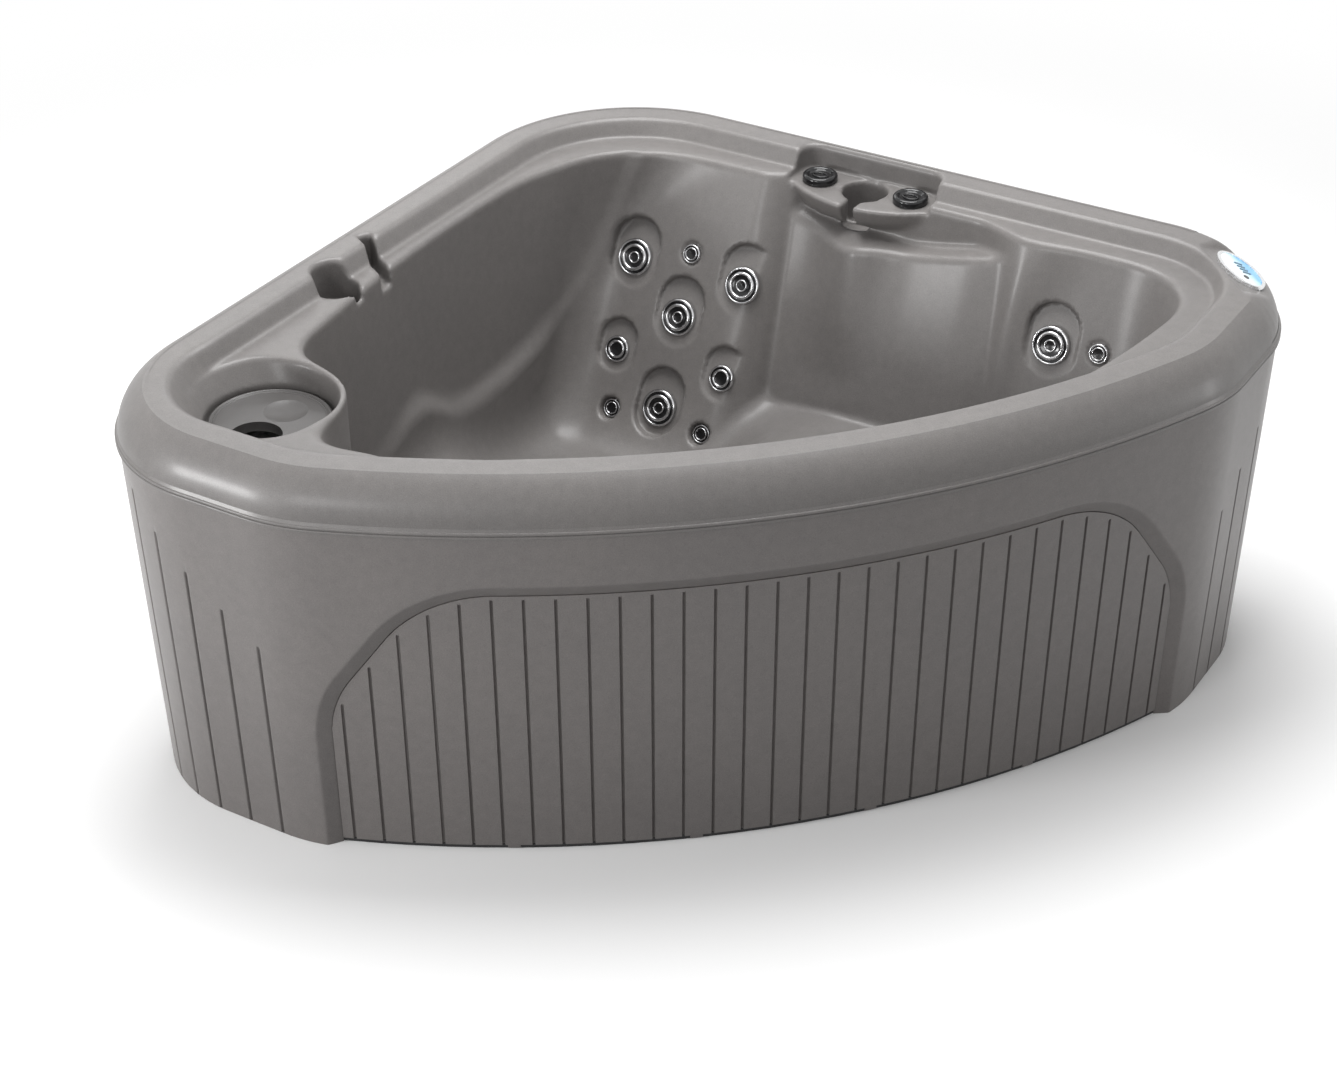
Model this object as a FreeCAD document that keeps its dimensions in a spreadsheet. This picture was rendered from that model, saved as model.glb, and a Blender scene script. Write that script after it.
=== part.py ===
import FreeCAD, Part
import Sketcher
from BOPTools import SplitAPI
import math
import os

# Two-person corner hot tub, as separate pieces, in millimetres.
# Origin on the floor under the middle of the plan box, +Z up, bowed front toward -Y.
# u is the distance in from the left wall and v the distance in from the right wall,
# both measured from the widest line of the rim. The two walls meet square at the back.

SIZES = {
    # Plan, measured at the widest line of the rim
    "wall_side": 1630,
    "return_side": 475,
    "bow_radius": 1950,
    "back_corner_radius": 370,
    "side_corner_radius": 290,
    "front_corner_radius": 320,
    # Rim and bead
    "overall_height": 740,
    "shell_wall": 9,
    "bead_height": 12,
    "bead_proud": 4,
    "bead_drop": 90,
    "rim_flat_outer": 54,
    "rim_round": 100,
    "rim_flat_inner": 106,
    "rim_edge_round": 6,
    "ledge_drop": 35,
    "head_room": 40,
    # Basin walls, as distances in from the rim's widest line
    "basin_left_top": 160,
    "basin_right_top": 148,
    "basin_return_top": 160,
    "basin_front_top": 142,
    "basin_left_low": 200,
    "basin_right_low": 185,
    "basin_return_low": 265,
    "basin_front_low": 270,
    "basin_corner_top": 200,
    "basin_corner_low": 140,
    "basin_back_round_top": 330,
    "basin_back_round_low": 250,
    "bench_height": 300,
    # Reclining seat along the left wall
    "lounge_middle": 426,
    "lounge_width": 430,
    "lounge_back_inset": 200,
    "lounge_back_drop": 100,
    "lounge_recline": 24.2,
    "lounge_seat_height": 170,
    "lounge_seat_end": 640,
    "lounge_knee_reach": 850,
    "lounge_knee_height": 300,
    "lounge_foot_reach": 1180,
    "lounge_foot_height": 185,
    "lounge_edge_round": 70,
    "lounge_bend": 130,
    "lounge_foot_bend": 100,
    # Crest of the bolster beside the reclining seat, from the back corner to the foot end
    "arm_end": 600,
    "arm_back": 190,
    "arm_shoulder_reach": 300,
    "arm_shoulder_height": 492,
    "arm_elbow_reach": 430,
    "arm_elbow_height": 380,
    "arm_hip_reach": 610,
    "arm_hip_height": 330,
    "arm_knee_height": 432,
    "arm_shin_reach": 950,
    "arm_shin_height": 380,
    "arm_round": 60,
    "arm_long_round": 130,
    "arm_root": 60,
    # Upright seat in the right corner
    "seat_middle": 1225,
    "seat_width": 420,
    "seat_back_inset": 190,
    "seat_recline": 19.3,
    "seat_height": 280,
    "seat_reach": 720,
    "seat_edge_round": 80,
    "seat_bend": 110,
    "seat_surround": 14,
    # Swelling of the right wall between the two seats
    "swell_start": 560,
    "swell_middle": 850,
    "swell_end": 1100,
    "swell_drop_start": 69,
    "swell_drop_middle": 122,
    "swell_drop_end": 77,
    "swell_edge_round": 30,
    "swell_foot_inset": 311,
    "swell_lean": 0.315,
    "swell_root": 60,
    # Footwell
    "footwell_height": 110,
    "footwell_left": 700,
    "footwell_back": 600,
    "footwell_reach": 1100,
    "footwell_front": 1840,
    "footwell_round": 90,
    # Filter well in the left corner
    "filter_u": 266,
    "filter_v": 1362,
    "filter_mouth_radius": 138,
    "filter_bore_radius": 112,
    "filter_seat_radius": 98,
    "filter_seat_drop": 65,
    "filter_floor_level": 330,
    "weir_width": 90,
    "weir_height": 70,
    "weir_drop": 12,
    # Control island on the right wall
    "island_middle": 738,
    "island_half_length": 150,
    "island_drop": 50,
    "island_depth": 95,
    "island_front_inset": 197,
    "island_front_radius": 237,
    "island_back_inset": 44,
    "island_hull_depth": 55,
    "island_hull_shrink": 48,
    "island_hull_turn": 0.3,
    "niche_back_inset": 68,
    "niche_round": 28,
    "knob_spread": 98,
    "knob_inset": 118,
    "cup_radius": 44,
    "cup_inset": 116,
    "cup_depth": 80,
    "cup_slot_width": 26,
    "cup_slot_depth": 42,
    # Cup holder and bottle slot in the left ledge
    "ledge_cup_reach": 991,
    "ledge_cup_inset": 124,
    "ledge_cup_radius": 40,
    "ledge_cup_depth": 70,
    "ledge_gate_width": 16,
    "ledge_gate_depth": 16,
    "ledge_slot_reach": 880,
    "ledge_slot_width": 24,
    "ledge_slot_depth": 60,
    # Jets
    "jet_row_top": 532,
    "jet_row_shoulder": 500,
    "jet_row_middle": 415,
    "jet_row_kidney": 329,
    "jet_row_low": 246,
    "jet_row_base": 222,
    "jet_shoulder_spread": 123,
    "jet_kidney_spread": 121,
    "jet_base_spread": 104,
    "seat_jet_u": 1191,
    "seat_jet_level": 527,
    "seat_small_jet_u": 1286,
    "seat_small_jet_level": 534,
    "large_jet_radius": 35,
    "large_jet_sleeve": 19,
    "medium_jet_radius": 25,
    "medium_jet_sleeve": 14,
    "small_jet_radius": 18,
    "small_jet_sleeve": 10,
    "jet_pocket_margin": 9,
    "jet_pocket_sink": 6,
    "jet_crown_margin": 15,
    "jet_crown_rise": 0.9,
    "jet_face_height": 9,
    "jet_flange": 2.5,
    "jet_edge": 2.5,
    "jet_dish": 3,
    "jet_sleeve_wall": 4,
    "jet_hub_depth": 20,
    "jet_nozzle_wall": 3,
    "jet_nozzle_rise": 6,
    "jet_tail": 62,
    "jet_nut_height": 10,
    "jet_nut_margin": 11,
    # Air controls
    "knob_radius": 32,
    "knob_height": 12,
    "knob_stem_radius": 9,
    "knob_stem": 25,
    "knob_edge": 4,
    "knob_grip_length": 42,
    "knob_grip_width": 24,
    "knob_grip_depth": 3.5,
    "air_valve_radius": 21,
    "air_valve_depth": 70,
    "air_valve_flange": 30,
    # Filter pieces
    "lid_radius": 106,
    "lid_height": 18,
    "lid_step": 4,
    "lid_band": 6,
    "lid_finger_radius": 45,
    "lid_finger_x": -30,
    "lid_finger_y": -45,
    "lid_finger_flat": 20,
    "lid_scoop_radius": 38,
    "lid_scoop_x": 29,
    "lid_scoop_y": 24,
    "lid_scoop_depth": 5,
    "cartridge_radius": 76,
    "cartridge_pleat_depth": 9,
    "cartridge_pleats": 36,
    "cartridge_cap": 10,
    "cartridge_room": 36,
    "cartridge_lip": 3,
    "standpipe_radius": 24,
    "standpipe_rise": 40,
    "standpipe_play": 1,
    "spigot_wall": 3,
    "filter_tail_radius": 20,
    "filter_tail": 40,
    # Topside control
    "topside_length": 150,
    "topside_width": 70,
    "topside_tilt": 16,
    "topside_hinge_inset": 103,
    "topside_step": 5,
    "topside_inset": 66,
    "topside_shift": 18,
    "topside_facet_half": 140,
    "topside_bezel_height": 6,
    "topside_bezel_band": 7,
    "topside_face_sink": 1.5,
    "topside_floor": 1.5,
    "key_length": 16,
    "key_width": 6,
    "key_pitch": 13,
    "key_slant": 25,
    "key_height": 1.6,
    "key_room": 0.9,
    "key_shift": 6,
    "window_length": 15,
    "window_width": 9,
    "window_reach": 32,
    "window_shift": 4,
    "window_sink": 0.6,
    "window_height": 1,
    "window_seat": 0.05,
    # Cabinet skirt and access panel
    "skirt_wall": 8,
    "skirt_top_inset": 5,
    "skirt_foot_inset": 30,
    "arch_half_width": 785,
    "arch_shoulder": 330,
    "arch_top_half": 630,
    "arch_drop": 97,
    "arch_lower_round": 130,
    "arch_upper_round": 160,
    "panel_sink": 7,
    "panel_wall": 8,
    "panel_gap": 0.6,
    "panel_floor_gap": 10,
    "panel_groove_width": 5,
    "panel_groove_depth": 3.5,
    "panel_groove_count": 30,
    "panel_groove_pitch": 52.4,
    "panel_groove_margin": 18,
    "panel_tab_width": 22,
    "panel_tab_pitch": 320,
    "pillar_groove_count": 5,
    "pillar_groove_width": 6,
    "pillar_groove_depth": 3.5,
    "pillar_groove_start": 65,
    "pillar_groove_pitch": 68,
    "pillar_groove_drop": 254,
    "pillar_groove_step": 52,
    # Base and equipment
    "base_inset": 48.5,
    "base_height": 8,
    "riser_margin": 40,
    "riser_drain_room": 15,
    "post_radius": 30,
    "post_spread": 75,
    "lounge_post_reach": 570,
    "seat_post_reach": 440,
    "pump_radius": 82,
    "pump_length": 250,
    "pump_level": 118,
    "pump_x": 40,
    "pump_y": -575,
    "wet_end_radius": 95,
    "wet_end_length": 120,
    "pump_foot_width": 130,
    "pump_foot_length": 180,
    "pipe_radius": 24,
    "pipe_wall": 3,
    "heater_radius": 32,
    "heater_length": 380,
    "heater_level": 330,
    "union_radius": 42,
    "union_length": 30,
    "box_length": 240,
    "box_depth": 110,
    "box_height": 220,
    "box_x": -540,
    "box_y": -440,
    "inlet_stub": 40,
    "volute_back": 20,
    "return_drop": 70,
    "return_run": 40,
    "manifold_stub": 100,
    "suction_lead": 160,
    "suction_branch_step": 2,
    "manifold_inset": 150,
    "manifold_top": 520,
    "air_pipe_radius": 14,
    "air_riser_radius": 11,
    "air_pipe_drop": 50,
    "air_pipe_end": 40,
    "collector_stub": 6,
    "collector_start": 60,
    "collector_end": 1240,
    "suction_radius": 46,
    "suction_height": 14,
    "suction_tail_radius": 22,
    "suction_tail": 45,
    "suction_level": 190,
    "suction_u": 845,
    "suction_pitch": 110,
    "drain_radius": 30,
    "drain_offset": 40,
    "drain_reach": 160,
    "drain_tail": 50,
    "drain_height": 5,
    "drain_bore": 13.2,
    "gland_radius": 14,
    "gland_length": 24,
    "gland_thread": 10,
    "gland_flange": 6,
    "gland_reach": 1150,
    "gland_level": 70,
    # Planes along which the moulded shell is parted
    "zone_level": 590,
    "zone_lounge": 640,
    "zone_seat": 1010,
    "zone_back": 560,
    "zone_corner": 1130,
    "zone_island": 480,
    "zone_margin": 3,
    "shell_cut": 80,
    "zone_sectors": 12,
    "zone_rim_reach": 420,
    "seat_gap": 0.3,
}

doc = FreeCAD.newDocument("corner_hot_tub")
sheet = doc.addObject("Spreadsheet::Sheet", "Sizes")
for row, (alias, number) in enumerate(SIZES.items(), start=1):
    sheet.set(f"A{row}", alias)
    sheet.set(f"B{row}", str(number))
    sheet.setAlias(f"B{row}", alias)
doc.recompute()

DIAGONAL = math.sqrt(0.5)
UP = FreeCAD.Vector(0, 0, 1)
pieces = []


def mm(alias):
    """A driving size, read from the sheet."""
    return float(sheet.get(alias))


def vec(x, y, z=0.0):
    return FreeCAD.Vector(x, y, z)


# Plan of the tub


def bow_centre_from_apex():
    """Height of the bow's centre above the meeting point of the walls, along Y."""
    corner_x = (mm("wall_side") - mm("return_side")) * DIAGONAL
    corner_y = -(mm("wall_side") + mm("return_side")) * DIAGONAL
    return corner_y + math.sqrt(mm("bow_radius") ** 2 - corner_x ** 2)


BACK_FROM_APEX = -mm("back_corner_radius") * (math.sqrt(2) - 1)
FRONT_FROM_APEX = bow_centre_from_apex() - mm("bow_radius")
APEX_Y = -(BACK_FROM_APEX + FRONT_FROM_APEX) / 2
BOW_Y = APEX_Y + bow_centre_from_apex()
WALL_REACH = APEX_Y * DIAGONAL
RETURN_REACH = mm("wall_side") - WALL_REACH
HEIGHT = mm("overall_height")
LEDGE = HEIGHT - mm("ledge_drop")
BEAD_FOOT = HEIGHT - mm("bead_drop")
ISLAND = HEIGHT - mm("island_drop")
FILTER_SEAT = LEDGE - mm("filter_seat_drop")
ARCH_TOP = BEAD_FOOT - mm("arch_drop")
BACK_LEVEL = HEIGHT - mm("lounge_back_drop")
WALL = mm("shell_wall")
GAP = mm("seat_gap")
ABOVE = HEIGHT + mm("head_room")


def at(u, v, z=0.0):
    """World point from the distances in from the left and right walls."""
    return vec((u - v) * DIAGONAL, APEX_Y - (u + v) * DIAGONAL, z)


ALONG_U = vec(DIAGONAL, -DIAGONAL)
ALONG_V = vec(-DIAGONAL, -DIAGONAL)
RIGHT_WALL = vec(DIAGONAL, DIAGONAL)
LEFT_WALL = vec(-DIAGONAL, DIAGONAL)
RIGHT_RETURN = vec(DIAGONAL, -DIAGONAL)
LEFT_RETURN = vec(-DIAGONAL, -DIAGONAL)


def corner_centre(side_a, reach_a, side_b, reach_b, radius):
    """Centre of the arc that joins two straight sides."""
    spread = side_a.x * side_b.y - side_a.y * side_b.x
    a = reach_a - radius
    b = reach_b - radius
    return vec((a * side_b.y - b * side_a.y) / spread, (side_a.x * b - side_b.x * a) / spread)


def bow_corner_centre(side, reach, bow, radius):
    """Centre of the arc that joins a return side to the bowed front."""
    foot = side * (reach - radius)
    run = vec(-side.y, side.x) if side.x < 0 else vec(side.y, -side.x)
    start = foot - vec(0, BOW_Y)
    half = start.dot(run)
    rest = start.dot(start) - (bow - radius) ** 2
    return foot + run * (-half + math.sqrt(half * half - rest))


def bisector(a, b):
    both = a + b
    return both.normalize()


def plan_wire(z, left, right, left_return, right_return, front, back_round, side_round, front_round):
    """Closed plan outline at one level, each side moved in by its own distance."""
    bow = mm("bow_radius") - front
    back = corner_centre(LEFT_WALL, WALL_REACH - left, RIGHT_WALL, WALL_REACH - right, back_round)
    right_side = corner_centre(
        RIGHT_WALL, WALL_REACH - right, RIGHT_RETURN, RETURN_REACH - right_return, side_round)
    left_side = corner_centre(
        LEFT_WALL, WALL_REACH - left, LEFT_RETURN, RETURN_REACH - left_return, side_round)
    right_front = bow_corner_centre(RIGHT_RETURN, RETURN_REACH - right_return, bow, front_round)
    left_front = bow_corner_centre(LEFT_RETURN, RETURN_REACH - left_return, bow, front_round)
    bow_centre = vec(0, BOW_Y)
    to_right = (right_front - bow_centre).normalize()
    to_left = (left_front - bow_centre).normalize()
    arcs = [
        (back, back_round, LEFT_WALL, RIGHT_WALL),
        (right_side, side_round, RIGHT_WALL, RIGHT_RETURN),
        (right_front, front_round, RIGHT_RETURN, to_right),
        (bow_centre, bow, to_right, to_left),
        (left_front, front_round, to_left, LEFT_RETURN),
        (left_side, side_round, LEFT_RETURN, LEFT_WALL),
    ]
    lift = vec(0, 0, z)
    edges = []
    last = None
    for centre, radius, start, end in arcs:
        first = centre + start * radius + lift
        middle = centre + bisector(start, end) * radius + lift
        final = centre + end * radius + lift
        if last is not None and (first - last).Length > 1e-6:
            edges.append(Part.makeLine(last, first))
        edges.append(Part.Arc(first, middle, final).toShape())
        last = final
    edges.append(Part.makeLine(last, edges[0].valueAt(edges[0].FirstParameter)))
    return Part.Wire(edges)


def outline(inset, z):
    """The rim's plan outline moved in by one distance all round."""
    return plan_wire(
        z, inset, inset, inset, inset, inset,
        mm("back_corner_radius") - inset,
        mm("side_corner_radius") - inset,
        mm("front_corner_radius") - inset)


def prism(wire, height):
    return Part.Face(wire).extrude(vec(0, 0, height))


def loft(wires):
    return Part.makeLoft(wires, True, True)


def joined(shapes):
    return shapes[0].multiFuse(shapes[1:]).removeSplitter()


def rounded_wire(points, radii):
    """Closed outline through corner points, each corner rounded by its own radius."""
    edges = []
    ends = []
    count = len(points)
    for index, (corner, radius) in enumerate(zip(points, radii)):
        before = (points[index - 1] - corner).normalize()
        after = (points[(index + 1) % count] - corner).normalize()
        half = before.getAngle(after) / 2
        if radius <= 0:
            ends.append((corner, None, corner))
            continue
        run = radius / math.tan(half)
        middle = bisector(before, after)
        centre = corner + middle * (radius / math.sin(half))
        ends.append((corner + before * run, centre - middle * radius, corner + after * run))
    for index, (first, middle, final) in enumerate(ends):
        if middle is not None:
            edges.append(Part.Arc(first, middle, final).toShape())
        following = ends[(index + 1) % count][0]
        if (following - final).Length > 1e-6:
            edges.append(Part.makeLine(final, following))
    return Part.Wire(edges)


def grown_polygon(points, radii, grow):
    """A counter-clockwise flat polygon moved outward, with its corner radii kept concentric."""
    count = len(points)
    moved = []
    rounds = []
    for index, corner in enumerate(points):
        ahead = points[(index + 1) % count]
        behind = points[index - 1]
        run_in = (corner[0] - behind[0], corner[1] - behind[1])
        run_out = (ahead[0] - corner[0], ahead[1] - corner[1])
        length_in = math.hypot(*run_in)
        length_out = math.hypot(*run_out)
        normal_in = (run_in[1] / length_in, -run_in[0] / length_in)
        normal_out = (run_out[1] / length_out, -run_out[0] / length_out)
        shared = 1 + normal_in[0] * normal_out[0] + normal_in[1] * normal_out[1]
        moved.append((
            corner[0] + grow * (normal_in[0] + normal_out[0]) / shared,
            corner[1] + grow * (normal_in[1] + normal_out[1]) / shared))
        turn = run_in[0] * run_out[1] - run_in[1] * run_out[0]
        if radii[index] > 0:
            rounds.append(radii[index] + (grow if turn > 0 else -grow))
        else:
            rounds.append(0)
    return moved, rounds


# Document objects


def feature(label, shape):
    """A piece whose form comes from curves and cuts rather than one primitive."""
    piece = doc.addObject("Part::Feature", label)
    piece.Label = label
    piece.Shape = shape
    pieces.append(piece)
    return piece


def origin_plane(body, role):
    return [plane for plane in body.Origin.OriginFeatures if plane.Role == role][0]


def turned(label, profile, keep=True):
    """A turned piece: a closed profile of (radius, height) expressions about its own Z axis."""
    body = doc.addObject("PartDesign::Body", label)
    body.Label = label
    sketch = body.newObject("Sketcher::SketchObject", label + "_profile")
    sketch.AttachmentSupport = (origin_plane(body, "XZ_Plane"), [""])
    sketch.MapMode = "FlatFace"
    spots = [
        vec(float(sheet.evalExpression(radius)), float(sheet.evalExpression(height)))
        for radius, height in profile
    ]
    count = len(spots)
    for index, spot in enumerate(spots):
        sketch.addGeometry(Part.LineSegment(spot, spots[(index + 1) % count]), False)
    for index in range(count):
        following = (index + 1) % count
        sketch.addConstraint(Sketcher.Constraint("Coincident", index, 2, following, 1))
    for index, (radius, height) in enumerate(profile):
        for kind, expression, place, axis in (
                ("DistanceX", radius, spots[index].x, -2), ("DistanceY", height, spots[index].y, -1)):
            if expression == "0":
                sketch.addConstraint(Sketcher.Constraint("PointOnObject", index, 1, axis))
                continue
            number = sketch.addConstraint(Sketcher.Constraint(kind, -1, 1, index, 1, place))
            sketch.setExpression(f"Constraints[{number}]", sized(expression))
    turn = body.newObject("PartDesign::Revolution", label + "_turn")
    turn.Profile = sketch
    turn.ReferenceAxis = (sketch, ["V_Axis"])
    turn.Angle = 360
    body.Tip = turn
    if keep:
        pieces.append(body)
    return body


def sized(expression):
    """An expression in size names, as the other objects of the document read it."""
    words = []
    for word in expression.split():
        words.append("Sizes." + word if word in SIZES else word)
    return " ".join(words)


def facing(point, axis):
    """Placement that stands a turned piece on a point, with its Z axis along the given axis."""
    return FreeCAD.Placement(point, FreeCAD.Rotation(UP, axis))


def group(label, master, placements):
    """Several copies of one hidden master, as separate solids of one piece."""
    doc.recompute()
    copies = []
    for placement in placements:
        copy = master.Shape.copy()
        copy.Placement = placement
        copies.append(copy)
    return feature(label, Part.makeCompound(copies))


def cylinder(radius, height, point, axis=UP):
    return Part.makeCylinder(radius, height, point, axis)


# Jets: where they sit and which way they face

LOUNGE_SLOPE = math.tan(math.radians(mm("lounge_recline")))
SEAT_SLOPE = math.tan(math.radians(mm("seat_recline")))


def back_inset(level, inset, slope):
    """Distance of a reclined seat back from the right wall at one level."""
    return inset + (BACK_LEVEL - level) * slope


def back_normal(slope):
    """Direction in which a reclined seat back faces."""
    lean = math.atan(slope)
    return (ALONG_V * math.cos(lean) + UP * math.sin(lean)).normalize()


LOUNGE_FACING = back_normal(LOUNGE_SLOPE)
SEAT_FACING = back_normal(SEAT_SLOPE)


def lounge_spot(offset, row):
    level = mm(row)
    return at(mm("lounge_middle") + offset, back_inset(level, mm("lounge_back_inset"), LOUNGE_SLOPE), level)


def seat_spot(u, level):
    return at(u, back_inset(level, mm("seat_back_inset"), SEAT_SLOPE), level)


def sunk(point, axis):
    return facing(point - axis * mm("jet_pocket_sink"), axis)


SHOULDER = mm("jet_shoulder_spread")
KIDNEY = mm("jet_kidney_spread")
BASE = mm("jet_base_spread")
LARGE_JETS = {
    "shoulder_jet_left": sunk(lounge_spot(-SHOULDER, "jet_row_shoulder"), LOUNGE_FACING),
    "shoulder_jet_right": sunk(lounge_spot(SHOULDER, "jet_row_shoulder"), LOUNGE_FACING),
    "spine_jet": sunk(lounge_spot(0, "jet_row_middle"), LOUNGE_FACING),
    "lumbar_jet": sunk(lounge_spot(0, "jet_row_low"), LOUNGE_FACING),
    "seat_jet": sunk(seat_spot(mm("seat_jet_u"), mm("seat_jet_level")), SEAT_FACING),
}
MEDIUM_JETS = {
    "kidney_jet_left": sunk(lounge_spot(-KIDNEY, "jet_row_kidney"), LOUNGE_FACING),
    "kidney_jet_right": sunk(lounge_spot(KIDNEY, "jet_row_kidney"), LOUNGE_FACING),
}
SMALL_JETS = [
    sunk(lounge_spot(0, "jet_row_top"), LOUNGE_FACING),
    sunk(lounge_spot(-BASE, "jet_row_base"), LOUNGE_FACING),
    sunk(lounge_spot(BASE, "jet_row_base"), LOUNGE_FACING),
    sunk(seat_spot(mm("seat_small_jet_u"), mm("seat_small_jet_level")), SEAT_FACING),
]
JET_KINDS = {
    "large": list(LARGE_JETS.values()),
    "medium": list(MEDIUM_JETS.values()),
    "small": SMALL_JETS,
}


# Tub shell: hollows of the basin, each also made larger by the wall to give the outside


def rim_opening(grow, top):
    """The mouth of the basin down to the ledge inside the rim."""
    inset = mm("rim_flat_inner") - grow
    edge = mm("rim_edge_round")
    if grow:
        return prism(outline(inset, LEDGE - grow), top - LEDGE + grow)
    foot = prism(outline(inset + edge, LEDGE), HEIGHT - edge - LEDGE)
    lip = loft([outline(inset + edge, HEIGHT - edge), outline(inset, HEIGHT)])
    mouth = prism(outline(inset, HEIGHT), top - HEIGHT)
    return joined([foot, lip, mouth])


def basin_wire(share, grow, z):
    """Plan of the basin between its top (share 0) and the bench (share 1)."""

    def between(name):
        high = mm(f"basin_{name}_top")
        low = mm(f"basin_{name}_low")
        return high + (low - high) * share

    corner = between("corner") + grow
    sides = [between(name) - grow for name in ("left", "right", "return", "return", "front")]
    return plan_wire(z, *sides, between("back_round") + grow, corner, corner)


def extruded_uz(points, radii, start, end):
    """A (v, z) polygon with rounded corners, run along u from start to end."""
    corners = [at(start, v, z) for v, z in points]
    return Part.Face(rounded_wire(corners, radii)).extrude(ALONG_U * (end - start))


def swell(grow):
    """The shelf and leaning wall between the two seats, which the basin goes round."""
    wall_foot = mm("bench_height") - mm("swell_root")
    hidden = mm("rim_flat_outer")
    sections = []
    for place in ("start", "middle", "end"):
        u = mm(f"swell_{place}")
        top = HEIGHT - mm(f"swell_drop_{place}") + grow
        reach = mm("swell_foot_inset") + grow
        low = reach + (mm("bench_height") - wall_foot) * mm("swell_lean")
        high = reach - (top - mm("bench_height")) * mm("swell_lean")
        corners = [
            at(u, hidden, wall_foot), at(u, low, wall_foot), at(u, high, top), at(u, hidden, top)]
        sections.append(rounded_wire(corners, [0, 0, mm("swell_edge_round"), 0]))
    return loft(sections)


def arm(grow):
    """The bolster beside the lounge: steep at the back, low at the hip and raised at the knee."""
    root = mm("arm_root")
    back = mm("arm_back")
    end = mm("lounge_foot_reach") + root
    points = [
        (back - root, root),
        (end, root),
        (end, mm("arm_shin_height")),
        (mm("arm_shin_reach"), mm("arm_shin_height")),
        (mm("lounge_knee_reach"), mm("arm_knee_height")),
        (mm("arm_hip_reach"), mm("arm_hip_height")),
        (mm("arm_elbow_reach"), mm("arm_elbow_height")),
        (mm("arm_shoulder_reach"), mm("arm_shoulder_height")),
        (back, LEDGE + root),
        (back - root, LEDGE + root),
    ]
    turn = mm("arm_round")
    bend = mm("arm_long_round")
    points, radii = grown_polygon(points, [0, 0, 0, turn, turn, bend, bend, bend, 0, 0], grow)
    return extruded_uz(points, radii, mm("rim_flat_outer"), mm("arm_end") + grow)


def seat_surround(grow):
    """The sloping wall in the right corner, into which the upright seat is let."""
    low = mm("bench_height") - mm("swell_root")
    high = LEDGE + mm("swell_root")
    lean = mm("seat_back_inset") + mm("seat_surround")
    points = [
        (mm("rim_flat_outer"), low),
        (back_inset(low, lean, SEAT_SLOPE) + grow, low),
        (back_inset(high, lean, SEAT_SLOPE) + grow, high),
        (mm("rim_flat_outer"), high),
    ]
    start = mm("seat_middle") - mm("seat_width") / 2 - WALL
    return extruded_uz(points, [0, 0, 0, 0], start, mm("wall_side"))


def basin(grow):
    """The main hollow from the ledge down to the bench, round the swell and the lounge's bolster."""
    top = LEDGE + (1 if not grow else -1)
    floor = mm("bench_height") - grow
    hollow = loft([basin_wire(1, grow, floor), basin_wire(0, grow, top)])
    return hollow.cut(swell(-grow)).cut(arm(-grow)).cut(seat_surround(-grow))


def trough(points, radii, start, end, edge_round, grow):
    """A seat hollow: a side profile run along u, with both lower edges rounded."""
    points, radii = grown_polygon(points, radii, grow)
    start = start - grow
    end = end + grow
    solid = extruded_uz(points, radii, start, end)
    edges = []
    for edge in solid.Edges:
        middle = edge.valueAt((edge.FirstParameter + edge.LastParameter) / 2)
        u = (middle - at(0, 0)).dot(ALONG_U)
        at_side = min(abs(u - start), abs(u - end)) < 0.01
        if at_side and middle.z < max(z for _, z in points) - 0.5:
            edges.append(edge)
    return solid.makeFillet(edge_round + grow, edges)


def lounge(grow):
    seat = mm("lounge_seat_height")
    top = LEDGE + 30
    half = mm("lounge_width") / 2
    inset = mm("lounge_back_inset")
    points = [
        (back_inset(top, inset, LOUNGE_SLOPE), top),
        (back_inset(seat, inset, LOUNGE_SLOPE), seat),
        (mm("lounge_seat_end"), seat),
        (mm("lounge_knee_reach"), mm("lounge_knee_height")),
        (mm("lounge_foot_reach"), mm("lounge_foot_height")),
        (mm("lounge_foot_reach"), top),
    ]
    bend = mm("lounge_bend")
    radii = [0, bend, bend, bend, mm("lounge_foot_bend"), 0]
    middle = mm("lounge_middle")
    return trough(points, radii, middle - half, middle + half, mm("lounge_edge_round"), grow)


def corner_seat(grow):
    seat = mm("seat_height")
    top = LEDGE + 30
    half = mm("seat_width") / 2
    inset = mm("seat_back_inset")
    points = [
        (back_inset(top, inset, SEAT_SLOPE), top),
        (back_inset(seat, inset, SEAT_SLOPE), seat),
        (mm("seat_reach"), seat),
        (mm("seat_reach"), top),
    ]
    bend = mm("seat_bend")
    middle = mm("seat_middle")
    return trough(points, [0, bend, bend, 0], middle - half, middle + half, mm("seat_edge_round"), grow)


def footwell(grow):
    left = mm("footwell_left")
    back = mm("footwell_back")
    front = mm("footwell_front")
    reach = mm("footwell_reach")
    points = [(left, back), (reach, back), (reach, front - reach), (left, front - left)]
    points, radii = grown_polygon(points, [mm("footwell_round")] * 4, grow)
    floor = mm("footwell_height") - grow
    corners = [at(u, v, floor) for u, v in points]
    return prism(rounded_wire(corners, radii), mm("bench_height") + WALL / 2 - floor)


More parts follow.
